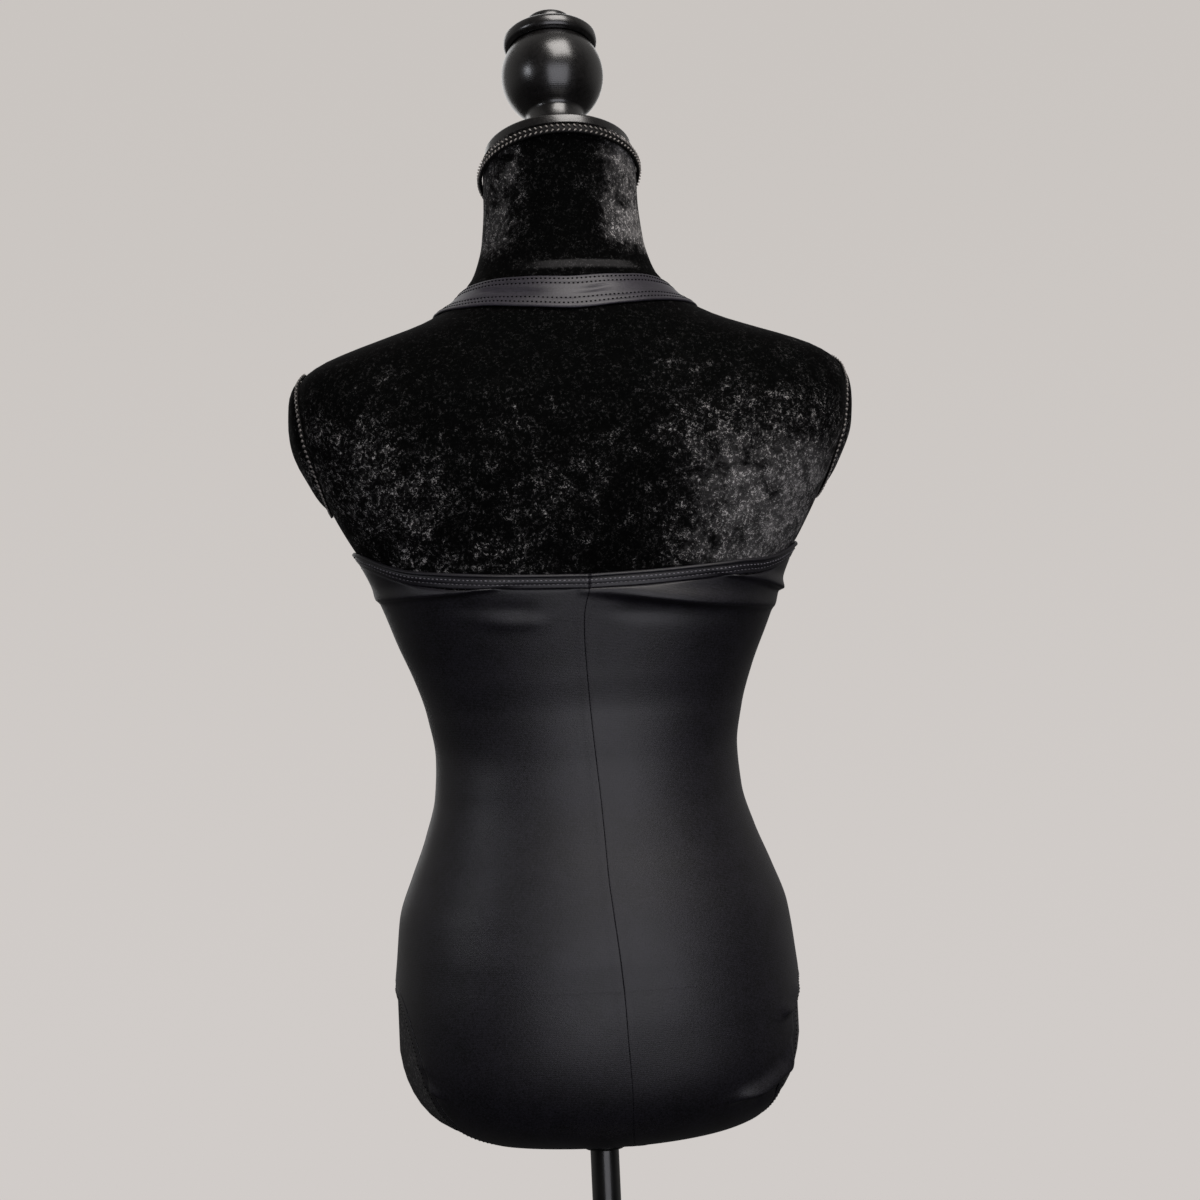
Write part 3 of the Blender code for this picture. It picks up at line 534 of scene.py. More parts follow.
# one black thread in three painted copies: highlight on raised stitches, shade of needle holes, highlight on
# braid strands
paintedHighlightThread = makeThread("threadPaintedHighlight", "#5a575d", "#8d8a92", 1.0)
paintedShadeThread = makeThread("paintedShadeThread", "#020202", "#080708", 0.0)
braidPaintedHighlightThread = makeThread("braidPaintedHighlightThread", "#595552", "#a8a29c", 0.7)
lacqueredBeech = makeLacquer()
coatedSteel = makeSteel()
print("materials: knit, velvet, braid yarn, thread, lacquer, coated steel")


# The velvet form

velvet = {
    "columns": 168,
    "underShares": (0.02, 0.12, 0.22, 0.36, 0.50, 0.60, 0.70, 0.77, 0.83, 0.87, 0.91, 0.94, 0.965, 0.98,
                    0.992),
    "rowStep": 0.0045,
    "bodyTop": 1.0995,
    "neckRows": 26,
    # the collar seam: height at that depth, how fast it rises backwards, how wide and high, its soft edge
    "seamAt": (1.1120, 0.05, 0.16),
    "seamBand": (0.0062, 0.0007, 0.0012),
    "unevenness": 0.00045,
}


def formRing(height, count, tilt=0.0, share=1.0):
    angles = (np.arange(count + 1) + 0.5) * 2 * math.pi / count
    c, s = np.cos(angles), np.sin(angles)
    heights = np.full(count + 1, float(height))
    for _ in range(8):
        power = sectionAt("power", heights)
        size = share / (np.abs(c) ** power + np.abs(s) ** power) ** (1 / power)
        x = sectionAt("halfWidth", heights) * c * size
        middle = sectionAt("middle", heights)
        y = middle + sectionDepth(x, middle + s, heights, False) * s * size
        heights = height + tilt * (y - form["neckCentreY"])
    return np.stack([x, y, heights], axis=-1)


def makeFormBody():
    drop = form["roundStart"] - form["bottom"]
    count = velvet["columns"]
    rows = [formRing(form["roundStart"] - drop * (1 - s**form["roundPower"]) ** (1 / form["roundPower"]),
                     count, share=s) for s in velvet["underShares"]]
    rows += [formRing(z, count) for z in np.arange(form["roundStart"], velvet["bodyTop"], velvet["rowStep"])]
    tilt = math.tan(form["neckTilt"])
    rows += [formRing(form["neckBase"] + (form["neckTop"] - form["neckBase"]) * n, count, tilt * n)
             for n in np.linspace(0, 1, velvet["neckRows"])]
    points = np.array(rows)
    x, y, z = np.moveaxis(points, -1, 0)
    lift = velvet["unevenness"] * np.sin(41 * x + 23 * z) * np.sin(37 * y - 51 * z + 1.0)
    seamHeight, seamDepth, seamRise = velvet["seamAt"]
    wide, high, edge = velvet["seamBand"]
    above = z - (seamHeight + (y - seamDepth) * seamRise)
    lift += high * smoothStep(0, edge, above) * (1 - smoothStep(wide, wide + edge, above))
    lift[-1] = 0      # the neck's flat top
    bm = clothMesh(points + normalsAt(points) * lift[..., None], weld=1e-6)
    bmesh.ops.holes_fill(bm, edges=[rim for rim in bm.edges if rim.is_boundary], sides=0)
    return finishPiece("formBody", bm, crushedVelvet, ["form_body"])


formBody = makeFormBody()
print("velvet form:", len(formBody.data.polygons), "faces")

armHole = {
    "centre": (-0.003, 0.989),       # depth and height
    "half": (0.043, 0.0525),
    "inner": 0.0003,
    "edge": 0.0009,
    "dome": 0.0076,
    "pile": 0.0003,                  # the cap's unevenness
    "tape": (0.0010, 0.0027),        # half the thickness and half the width of the seam's tape
    "plait": 0.0040,                 # one link of its chain
    "plaitRows": (0.0013, -0.0013),  # how far its two rows of strands lie off the middle
    "rows": 12,
    "columns": 96,
    "tapeColumns": 72,
}


def armRing(side, share, lift, count):
    angles = np.arange(count + 1) * 2 * math.pi / count
    (depth, height), (deep, tall) = armHole["centre"], armHole["half"]
    starts = np.stack([np.zeros(count + 1), depth + deep * share * np.cos(angles),
                       height + tall * share * np.sin(angles)], axis=-1)
    points = castOut(starts, np.array([float(side), 0.0, 0.0]))
    return points + normalsAt(points) * lift


def plaitRing(name, line, outward, along, half, tall, turn, shifts, replaced):
    # a dark flat cord with two rows of slanted strands, which make a chain of open links; the strands'
    # lighter colour is a painted highlight on the black thread
    section = [(math.cos(a), math.sin(a)) for a in np.linspace(0, 2 * math.pi, 9)]
    base = np.array([line + outward * half * (0.80 * c - 0.18) + along * tall * 0.92 * s for c, s in section])
    bm = clothMesh(np.concatenate([base, base[:, :1]], axis=1), weld=1e-6)
    baseFaces = len(bm.faces)
    line, outward, along = [np.concatenate([rows, rows[:1]]) for rows in (line, outward, along)]
    at = runLengths(line, 0)
    strands = int(at[-1] / turn)
    size = Matrix.Diagonal((turn * 0.38, turn * 0.20, turn * 0.17, 1))
    for shift, lean in zip(shifts, (-0.75, 0.75)):
        slope = Matrix.Rotation(lean, 4, "Y")
        for place in [(i + 0.5) / strands * at[-1] for i in range(strands)]:
            centre, out, up = [placeOn(rows, at, place) for rows in (line, outward, along)]
            axes = Matrix((out.cross(up).normalized(), out.normalized(), up.normalized()))
            turned = axes.transposed().to_4x4()
            matrix = Matrix.Translation(centre + out * half * 0.80 + up * shift) @ turned @ slope @ size
            bmesh.ops.create_icosphere(bm, subdivisions=1, radius=1.0, matrix=matrix)
    piece = finishPiece(name, bm, braidYarn, replaced)
    # the strands in the lighter thread, a painted highlight
    piece.data.materials.append(braidPaintedHighlightThread)
    for polygon in piece.data.polygons[baseFaces:]:
        polygon.material_index = 1


def makeArm(side, label):
    half, tall = armHole["tape"]
    rim = 1 - (tall + 0.0002) / armHole["half"][0]
    shares = np.sin(np.linspace(0, math.pi / 2, armHole["rows"]))
    count = armHole["columns"]
    rows = [armRing(side, share * rim, armHole["inner"], count) for share in shares]
    for share in shares[::-1]:
        dome = armHole["dome"] * (1 - share**2) ** 0.7 + armHole["pile"] * math.sin(9 * share)
        rows.append(armRing(side, share * rim, armHole["edge"] + dome, count))
    finishPiece("armCap" + label, clothMesh(np.array(rows), weld=1e-6), crushedVelvet,
                ["form_arm_cap_" + label.lower()])
    line = armRing(side, 1.0, half + 0.0001, armHole["tapeColumns"])[:-1]
    outward = normalsAt(line)
    along = np.cross(outward, directionsAlong(line, wrap=True))
    plaitRing("armBraid" + label, line, outward, along, half, tall, armHole["plait"], armHole["plaitRows"],
              ["form_arm_trim_" + label.lower()])


for side, label in ((1, "Left"), (-1, "Right")):
    makeArm(side, label)
print("arm caps and their braids")

neckBraid = {
    "drop": 0.0105,
    "tilt": math.radians(23.8),
    "half": 0.0019,
    "tall": 0.0042,
    "plait": 0.0042,
    "plaitRows": (0.0024, -0.0016),
    "columns": 84,
}


def makeNeckBraid():
    height = form["neckTop"] - neckBraid["drop"]
    line = formRing(height, neckBraid["columns"], math.tan(neckBraid["tilt"]))[:-1]
    outward = normalsAt(line)
    line = line + outward * (neckBraid["half"] + 0.0001)
    up = np.array([0.0, -math.sin(form["neckTilt"]), math.cos(form["neckTilt"])])
    plaitRing("neckBraid", line, outward, np.tile(up, (len(line), 1)), neckBraid["half"], neckBraid["tall"],
              neckBraid["plait"], neckBraid["plaitRows"], ["form_neck_trim"])


makeNeckBraid()


# Turned wood and steel

def turnPiece(name, profile, material, replaced, base=(0, 0, 0), tilt=0.0, steps=96):
    bm = bmesh.new()
    verts = [bm.verts.new((max(radius, 0.0), 0, height)) for radius, height in profile]
    edges = [bm.edges.new(pair) for pair in zip(verts, verts[1:])]
    bmesh.ops.spin(bm, geom=verts + edges, cent=(0, 0, 0), axis=(0, 0, 1), angle=2 * math.pi, steps=steps,
                   use_merge=True)
    bmesh.ops.remove_doubles(bm, verts=bm.verts, dist=1e-6)
    bmesh.ops.transform(bm, matrix=Matrix.Translation(base) @ Matrix.Rotation(tilt, 4, "X"), verts=bm.verts)
    piece = finishPiece(name, bm, material, replaced)
    piece.data.set_sharp_from_angle(angle=math.radians(50))
    return piece


def smoothProfile(points, count):
    return [tuple(p) for p in resample(np.array(points, float), count)]


def roundedCorner(radius, height, bevel, outwardUp=True, count=5):
    # a convex corner at (radius, height) of a turned profile
    turns = np.linspace(0, math.pi / 2, count)
    if outwardUp:
        return [(radius - bevel + bevel * math.cos(a), height - bevel + bevel * math.sin(a)) for a in turns]
    return [(radius - bevel + bevel * math.sin(a), height + bevel - bevel * math.cos(a)) for a in turns]


finial = {
    "ballRadius": 0.0400,
    "ballHeight": 0.0650,
    "ballSpan": (-55.0, 39.0),
    "foot": ((0.0290, 0.0000), (0.0302, 0.0030), (0.0298, 0.0070), (0.0276, 0.0110), (0.0248, 0.0155),
             (0.0226, 0.0205), (0.0216, 0.0255), (0.0214, 0.0290), (0.0221, 0.0312)),
    "cap": ((0.0330, 0.0892), (0.0356, 0.0908), (0.0368, 0.0942), (0.0366, 0.0980), (0.0338, 0.1013),
            (0.0278, 0.1036), (0.0212, 0.1052), (0.0188, 0.1078), (0.0184, 0.1125), (0.0174, 0.1152),
            (0.0080, 0.1176), (0.0, 0.1178)),
    "plateRadius": 0.0570,
    "plateThick": 0.0110,
    "plateRim": 0.0022,
    "gap": 0.0003,
}


def makeTopWood():
    up = Vector((0, -math.sin(form["neckTilt"]), math.cos(form["neckTilt"])))
    top = Vector((0, form["neckCentreY"], form["neckTop"]))
    ball = [(finial["ballRadius"] * math.cos(a), finial["ballHeight"] + finial["ballRadius"] * math.sin(a))
            for a in np.radians(np.linspace(*finial["ballSpan"], 34))]
    profile = [(0.0, 0.0), *smoothProfile(finial["foot"], 30), *ball, *smoothProfile(finial["cap"], 36)]
    turnPiece("turnedFinial", profile, lacqueredBeech, ["form_finial"],
              top + up * (finial["plateThick"] + 2 * finial["gap"]), form["neckTilt"])
    thick = finial["plateThick"]
    lower = roundedCorner(finial["plateRadius"], 0.0, finial["plateRim"], False, 6)
    upper = [(radius, thick - height) for radius, height in lower[::-1]]
    turnPiece("neckPlate", [(0.0, 0.0), *lower, *upper, (0.0, thick)], lacqueredBeech,
              ["form_neck_plate"], top + up * finial["gap"], form["neckTilt"])


makeTopWood()

stand = {
    "footRadius": 0.170, "footThick": 0.012, "footRim": 0.004,
    "collarRadius": 0.021, "collarHeight": 0.030, "collarFlange": 0.006, "flangeThick": 0.0045,
    # from the flange up to the collar's side: out from the side, and height
    "collarFillet": ((0.0020, 0.0050), (0.0005, 0.0062), (0.0, 0.0085)),
    "poleRadius": 0.011, "socketRadius": 0.016, "socketHeight": 0.012, "gap": 0.0003,
}


def makeStand():
    s = stand
    collarLow = s["footThick"] + s["gap"]
    poleLow = collarLow + s["collarHeight"] + s["gap"]
    socketLow = form["bottom"] - s["gap"] - s["socketHeight"]
    poleTall = socketLow - s["gap"] - poleLow
    foot = (roundedCorner(s["footRadius"], 0.0, 0.002, False)
            + roundedCorner(s["footRadius"], s["footThick"], s["footRim"]))
    flangeRadius = s["collarRadius"] + s["collarFlange"]
    collar = [(flangeRadius, 0.0), *roundedCorner(flangeRadius, s["flangeThick"], 0.0015),
              *[(s["collarRadius"] + out, height) for out, height in s["collarFillet"]],
              *roundedCorner(s["collarRadius"], s["collarHeight"], 0.002)]
    pole = (roundedCorner(s["poleRadius"], 0.0, 0.0005, False)
            + roundedCorner(s["poleRadius"], poleTall, 0.0005))
    socket = [*roundedCorner(s["socketRadius"], 0.0, 0.002, False), (s["socketRadius"], s["socketHeight"])]
    for name, low, tall, profile, steps in (("Foot", 0.0, s["footThick"], foot, 144),
                                            ("Collar", collarLow, s["collarHeight"], collar, 72),
                                            ("Pole", poleLow, poleTall, pole, 72),
                                            ("Socket", socketLow, s["socketHeight"], socket, 72)):
        turnPiece("stand" + name, [(0.0, 0.0), *profile, (0.0, tall)], coatedSteel,
                  ["stand_" + name.lower()], (0, 0, low), steps=steps)


makeStand()
print("finial, neck plate and stand")


# The leotard's cut lines on the form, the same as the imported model

cut = {
    "bandWidth": 0.0105,
    "strapWidth": 0.029,
    "backEdge": 0.8820,
    "legTop": 0.578,
    "panelColumns": 12,
    "armColumns": 11,
    "neckColumns": 5,
    "stretch": 1.085,          # worn length over cut length, each way
    "leastWidth": 0.0101,      # no piece is cut narrower
    "leastFill": 0.31,         # nor fills less of its width by its length
    "rightDrop": 0.0055,       # how much lower the back edge ends on the right side
}
backEdgeRise = ((0.0, 0.0), (0.3, 0.0015), (0.55, 0.0040), (0.8, 0.0085), (0.9, 0.0140), (1.0, 0.0250))
seamDown = ((0.495, -0.0136), (0.535, -0.0123), (0.577, -0.0108), (0.620, -0.0075), (0.656, -0.0046),
            (0.702, -0.0033), (0.741, -0.0010), (0.773, 0.0012), (0.801, 0.0028), (0.838, 0.0044),
            (0.850, 0.0041), (0.860, 0.0026), (0.871, -0.0001), (0.884, -0.0010))
seamUnder = ((0.0, -0.0120), (20.0, -0.0138), (40.0, -0.0150), (60.0, -0.0240), (75.0, -0.0440),
             (90.0, -0.0600), (100.0, -0.0600))
# height, the leg line's places across on the back and on the front
legDown = ((0.545, 0.1405, 0.1260), (0.556, 0.1435, 0.1370), (0.5656, 0.1465, 0.1455),
           (0.5740, 0.1498, 0.1500), (0.5768, 0.1519, 0.1519))
# degrees of turn under the form, the left and the right leg line's places across
legUnder = ((0.0, 0.1405, -0.1425), (15.0, 0.1355, -0.1375), (30.0, 0.1290, -0.1325),
            (42.0, 0.1195, -0.1270), (51.0, 0.1030, -0.1210), (59.0, 0.0740, -0.1150),
            (64.5, 0.0430, -0.1100), (68.5, 0.0110, -0.1060), (73.0, -0.0180, -0.1020),
            (78.0, -0.0280, -0.0980), (84.0, -0.0325, -0.0950), (91.0, -0.0345, -0.0930),
            (100.0, -0.0320, -0.0920), (106.0, -0.0220, -0.0920), (111.0, 0.0000, -0.0930),
            (116.0, 0.0280, -0.0940), (124.0, 0.0560, -0.0960), (133.0, 0.0780, -0.0990),
            (142.0, 0.0940, -0.1030), (151.0, 0.1050, -0.1080), (161.0, 0.1140, -0.1150),
            (171.0, 0.1205, -0.1205), (180.0, 0.1260, -0.1260))
frontArmLine = ((0.1640, 0.8965), (0.1550, 0.8970), (0.1480, 0.8995), (0.1300, 0.9080), (0.1130, 0.9250),
                (0.0980, 0.9480), (0.0880, 0.9650), (0.0835, 0.9780), (0.0830, 0.9900))
frontNeckLine = ((0.0690, 0.9900), (0.0685, 0.9780), (0.0630, 0.9670), (0.0460, 0.9510), (0.0250, 0.9395),
                 (0.0000, 0.9350))
strapLine = ((0.0760, -0.0913, 0.9928), (0.0775, -0.0861, 1.0050), (0.0805, -0.0735, 1.0350),
             (0.0848, -0.0600, 1.0600), (0.0890, -0.0400, 1.0830), (0.0900, -0.0120, 1.0925),
             (0.0815, 0.0155, 1.0955), (0.0635, 0.0364, 1.0950), (0.0345, 0.0522, 1.0928),
             (0.0000, 0.0590, 1.0913))
# The panels' rows: heights of the level ones, turns of those under the form, shares of the way to the top
backHeights = (0.795, 0.768, 0.741, 0.714, 0.687, 0.660, 0.632, 0.604)
frontHeights = (0.865, 0.842, 0.816, 0.786, 0.754, 0.722, 0.690, 0.655, 0.615)
frontClimb = (0.14, 0.28, 0.42, 0.58, 0.78, 1.0)
legHeights = (0.578, 0.5768, 0.5740, 0.5656, 0.556, 0.545)
backTurns = (8.0, 16.0, 24.0, 33.0, 42.0, 51.0, 59.0, 64.5, 68.5, 73.0, 78.0, 84.0, 91.0, 100.0)
frontTurns = (100.0, 106.0, 111.0, 116.0, 124.0, 133.0, 142.0, 151.0, 161.0, 171.0)
backTopShares, backTopLevel = (0.0, 0.08, 0.16, 0.25, 0.35, 0.46, 0.58, 0.72, 0.86, 1.0), 0.818


def legAngle(side, part, at):
    if part == "under":
        across = smoothCurve(at, column(legUnder, 0), column(legUnder, 1 if side > 0 else 2))
        return float(angleOf(across, sectionAt("halfWidth", form["turnHeight"])))
    if at >= cut["legTop"]:
        return 0.0 if side > 0 else math.pi
    heights = column(legDown, 0) + [cut["legTop"]]
    widths = column(legDown, 1 if part == "back" else 2) + [float(sectionAt("halfWidth", cut["legTop"]))]
    return float(angleOf(side * float(np.interp(at, heights, widths)), sectionAt("halfWidth", at)))


def seamPlace(part, at):
    rows = seamUnder if part == "under" else seamDown
    return float(smoothCurve(at, column(rows, 0), column(rows, 1)))


def rightDropAt(angles, heights):
    across = acrossAt(angles, 1.0)
    return -cut["rightDrop"] * smoothStep(0.70, 1.0, -across) * (1 - smoothStep(0.905, 0.945, heights))


def backEdgeAt(angles):
    rise = smoothCurve(np.abs(acrossAt(angles, 1.0)), column(backEdgeRise, 0), column(backEdgeRise, 1))
    return cut["backEdge"] + rise + rightDropAt(angles, cut["backEdge"])


def backAngles(side, part, at, count=cut["panelColumns"]):
    wide = sectionAt("halfWidth", form["turnHeight"] if part == "under" else at)
    start = float(angleOf(seamPlace(part, at), wide))
    return start + (legAngle(side, part, at) - start) * np.linspace(0, 1, count)


def backTopRows(side, drops, count):
    rows = []
    for drop in drops:
        at = cut["backEdge"] - drop
        angles = backAngles(side, "back", at, count)
        rows.append(levelRow(angles, backEdgeAt(angles) - drop, 1.0))
    return np.array(rows)


def backGrid(side):
    rows = []
    for share in backTopShares:
        at = (cut["backEdge"] - cut["bandWidth"]) * (1 - share) + backTopLevel * share
        angles = backAngles(side, "back", at)
        heights = (backEdgeAt(angles) - cut["bandWidth"]) * (1 - share) + backTopLevel * share
        rows.append(levelRow(angles, heights, 1.0))
    for height in (*backHeights, *legHeights):
        rows.append(levelRow(backAngles(side, "back", height), height, 1.0))
    for turn in backTurns:
        rows.append(underRow(backAngles(side, "under", turn), turn))
    return np.array(rows)


def evenLine(rows, count):
    heights = np.array(column(rows, 1))
    angles = np.array([float(angleOf(x, sectionAt("halfWidth", z))) for x, z in rows])
    steps = np.hypot(np.diff(angles) * float(sectionAt("halfWidth", heights[0])), np.diff(heights))
    along = np.concatenate([[0], np.cumsum(steps)])
    at = np.linspace(0, along[-1], count)
    return smoothCurve(at, along, angles), smoothCurve(at, along, heights)


def frontGrid():
    armAngles, armHeights = evenLine(frontArmLine, cut["armColumns"])
    neckAngles, neckHeights = evenLine(frontNeckLine, cut["neckColumns"])
    angles = np.concatenate([armAngles, neckAngles])
    heights = np.concatenate([armHeights, neckHeights])
    topAngles = np.concatenate([angles, math.pi - angles[-2::-1]])
    topHeights = np.concatenate([heights, heights[-2::-1]])
    topHeights = topHeights + rightDropAt(topAngles, topHeights)
    share = topAngles / math.pi

    def rowAngles(part, at):
        left, right = legAngle(1, part, at), legAngle(-1, part, at)
        return left + (right - left) * share

    rows = [underRow(rowAngles("under", turn), turn) for turn in frontTurns]
    for height in (*legHeights[::-1], *frontHeights[::-1]):
        rows.append(levelRow(rowAngles("front", height), height, -1.0))
    for climb in frontClimb:
        rows.append(levelRow(topAngles, frontHeights[0] + (topHeights - frontHeights[0]) * climb, -1.0))
    return np.array(rows)


# Folds, each a line of places across and up, its half width, its height, and how much steeper its lower side
# is. A minus height is a trough. "back" ones lie on the back, "front" ones on the front.
backFolds = (
    (((0.160, 0.8705), (0.1263, 0.8722), (0.0978, 0.8738), (0.0700, 0.8760), (0.050, 0.8780)),
     0.0050, 0.0058, 0.40),
    (((0.108, 0.8625), (0.0655, 0.8580), (0.0300, 0.8560)), 0.0050, -0.0012, 1.0),
    (((0.092, 0.8540), (0.0600, 0.8490), (0.0300, 0.8480)), 0.0075, 0.0012, 0.8),
    (((0.004, 0.8705), (-0.0300, 0.8660), (-0.0600, 0.8620), (-0.0932, 0.8580), (-0.1280, 0.8555),
      (-0.152, 0.8545)), 0.0074, 0.0068, 0.42),
    (((-0.006, 0.8560), (-0.0449, 0.8520), (-0.083, 0.8490), (-0.120, 0.8475)), 0.0060, -0.0014, 1.0),
    (((-0.090, 0.8815), (-0.1083, 0.8785), (-0.1324, 0.8735), (-0.156, 0.8650)), 0.0044, 0.0056, 0.42),
    (((-0.0850, 0.4890), (-0.1120, 0.4965), (-0.1330, 0.5080), (-0.1440, 0.5245), (-0.1500, 0.5445)),
     0.0044, 0.0078, 0.40),
    (((-0.0980, 0.4840), (-0.1250, 0.4910), (-0.1400, 0.5000)), 0.0042, -0.0018, 1.0),
    (((-0.1280, 0.5440), (-0.1400, 0.5520), (-0.1520, 0.5640)), 0.0042, 0.0030, 0.6),
    (((0.1520, 0.5330), (0.1440, 0.5270), (0.1330, 0.5180)), 0.0030, 0.0030, 0.6),
    (((0.1460, 0.5200), (0.1340, 0.5090), (0.1190, 0.4990)), 0.0030, 0.0028, 0.6),
)
frontFolds = (
    (((0.158, 0.8760), (0.1380, 0.8720), (0.1120, 0.8700)), 0.0050, 0.0020, 0.7),
    (((-0.158, 0.8780), (-0.1360, 0.8725), (-0.1080, 0.8690)), 0.0052, 0.0022, 0.7),
    (((0.040, 0.8560), (0.0, 0.8530), (-0.036, 0.8545)), 0.0100, 0.0010, 1.0),
    (((-0.1280, 0.5300), (-0.1050, 0.5200), (-0.0800, 0.5160)), 0.0055, 0.0018, 0.7),
    (((0.1300, 0.5260), (0.1080, 0.5150), (0.0850, 0.5120)), 0.0055, 0.0016, 0.7),
    (((0.1120, 0.7420), (0.0700, 0.7350), (0.0300, 0.7370)), 0.0110, 0.0008, 1.0),
    (((-0.1120, 0.7460), (-0.0720, 0.7380), (-0.0350, 0.7390)), 0.0110, 0.0008, 1.0),
)
# how much wider a fold's upper side is, the shares of its length where it rises and falls, its height at the
# ends, and how much its height wanders
foldShape = {"upper": 1.25, "rise": 0.30, "fall": 0.22, "ends": 0.15, "wander": 0.18}


def legEase(points):      # the cloth lies closer to the form round the upper end of each leg opening
    x, y, z = np.moveaxis(points, -1, 0)
    return -0.0011 * smoothStep(0.128, 0.152, np.abs(x)) * (1 - smoothStep(0.60, 0.66, z))


def foldLift(points):
    x, y, z = np.moveaxis(points, -1, 0)
    lift = legEase(points)
    for side, folds in ((1, backFolds), (-1, frontFolds)):
        shown = smoothStep(-0.012, 0.004, side * y)
        for line, halfWidth, height, lower in folds:
            line = np.array(line)
            spans = np.linalg.norm(np.diff(line, axis=0), axis=1)
            best = np.full(x.shape, 1e9)
            signedOff, share = np.zeros(x.shape), np.zeros(x.shape)
            done = 0.0
            for start, end, span in zip(line, line[1:], spans):
                run = (end - start) / span
                t = np.clip((x - start[0]) * run[0] + (z - start[1]) * run[1], 0, span)
                offX, offZ = x - start[0] - run[0] * t, z - start[1] - run[1] * t
                off = np.hypot(offX, offZ)
                nearer = off < best
                best = np.where(nearer, off, best)
                signedOff = np.where(nearer, offZ, signedOff)
                share = np.where(nearer, (done + t) / spans.sum(), share)
                done += span
            width = halfWidth * np.where(signedOff < 0, lower, foldShape["upper"])
            full = smoothStep(0.0, foldShape["rise"], share) * smoothStep(0.0, foldShape["fall"], 1 - share)
            tall = full * (1 - foldShape["ends"]) + foldShape["ends"]
            wander = 1 + foldShape["wander"] * np.sin(share * 9.0 + halfWidth * 3000)
            lift += height * tall * wander * np.exp(-((best / width) ** 2)) * shown
    return lift


def softWaves(points):      # the slight unevenness of any stretched cloth
    x, y, z = np.moveaxis(points, -1, 0)
    return 0.00022 * (np.sin(52 * x + 18 * z) * np.sin(61 * z - 20 * y) + 0.6 * np.sin(95 * z + 30 * x))


panel = {
    "backCell": 0.0017,
    "frontCell": 0.0022,
    "wall": 0.0008,            # the cloth's own thickness, under the face
    "face": 0.0031,            # the face's height over the form
    "seamRoll": 0.00014,       # how far the cloth turns in at the centre seam
    "seamRollWide": 0.0004,
    "tuck": 0.0006,            # how far it turns in under the bands
    "tuckWide": 0.0014,
    "allowance": 0.00028,      # the lift over the seam's overlocked edges, full on the right side
    "allowanceWide": 0.0058,
    "leftShare": 0.6,
}


def seamShape(fromSeam, share):
    roll = -panel["seamRoll"] * np.exp(-((fromSeam / panel["seamRollWide"]) ** 2))
    wide = panel["allowanceWide"]
    return roll + panel["allowance"] * share * (1 - smoothStep(wide * 0.72, wide * 1.25, fromSeam))


def seamColumns(fine):      # two more columns beside the seam, for its narrow groove
    first, second = fine[:, :1], fine[:, 1:2]
    added = [first + (second - first) * s for s in (0.22, 0.55)]
    return settle(np.concatenate([first, *added, fine[:, 1:]], axis=1))


def finishPanel(name, points, replaced, parts, spanned=False):
    # its outer side is judged at a place within it, a third or half of the way along both ways
    piece = finishPiece(name, clothMesh(points), bodyKnit, [replaced])
    middle = points[len(points) // parts, points.shape[1] // parts]
    faceOutward(piece, middle, normalsAt(middle[None], spanned)[0])
    thicken(piece, panel["wall"])
    return piece


def makeBack(side, label):
    fine = seamColumns(denseGrid(backGrid(side), panel["backCell"]))
    fromSeam = lengthsAcross(fine)
    lift = panel["face"] + foldLift(fine) + softWaves(fine)
    lift += seamShape(fromSeam, 1.0 if side < 0 else panel["leftShare"])
    toSide = fromSeam[:, -1:] - fromSeam
    fromTop = np.linalg.norm(fine - fine[:1], axis=-1)
    lift -= panel["tuck"] * np.exp(-((np.minimum(toSide, fromTop) / panel["tuckWide"]) ** 2))
    points = fine + normalsAt(fine) * lift[..., None]
    return finishPanel("back" + label, points, "leotard_back_" + label.lower(), 3), points


def makeFront():
    fine = denseGrid(frontGrid(), panel["frontCell"], spanned=True)
    lift = panel["face"] + foldLift(fine) + softWaves(fine)
    points = fine + normalsAt(fine, True) * lift[..., None]
    return finishPanel("frontPanel", points, "leotard_front", 2, spanned=True), points


backLeft, backLeftPoints = makeBack(1, "Left")
backRight, backRightPoints = makeBack(-1, "Right")
frontPanel, frontPoints = makeFront()
print("panels:", [len(piece.data.polygons) for piece in (backLeft, backRight, frontPanel)], "faces")


# Folded, coverstitched bands: a closed section of places across and heights over the form, in millimetres.
# 0 is the edge on the panel, 10.5 is the free edge.

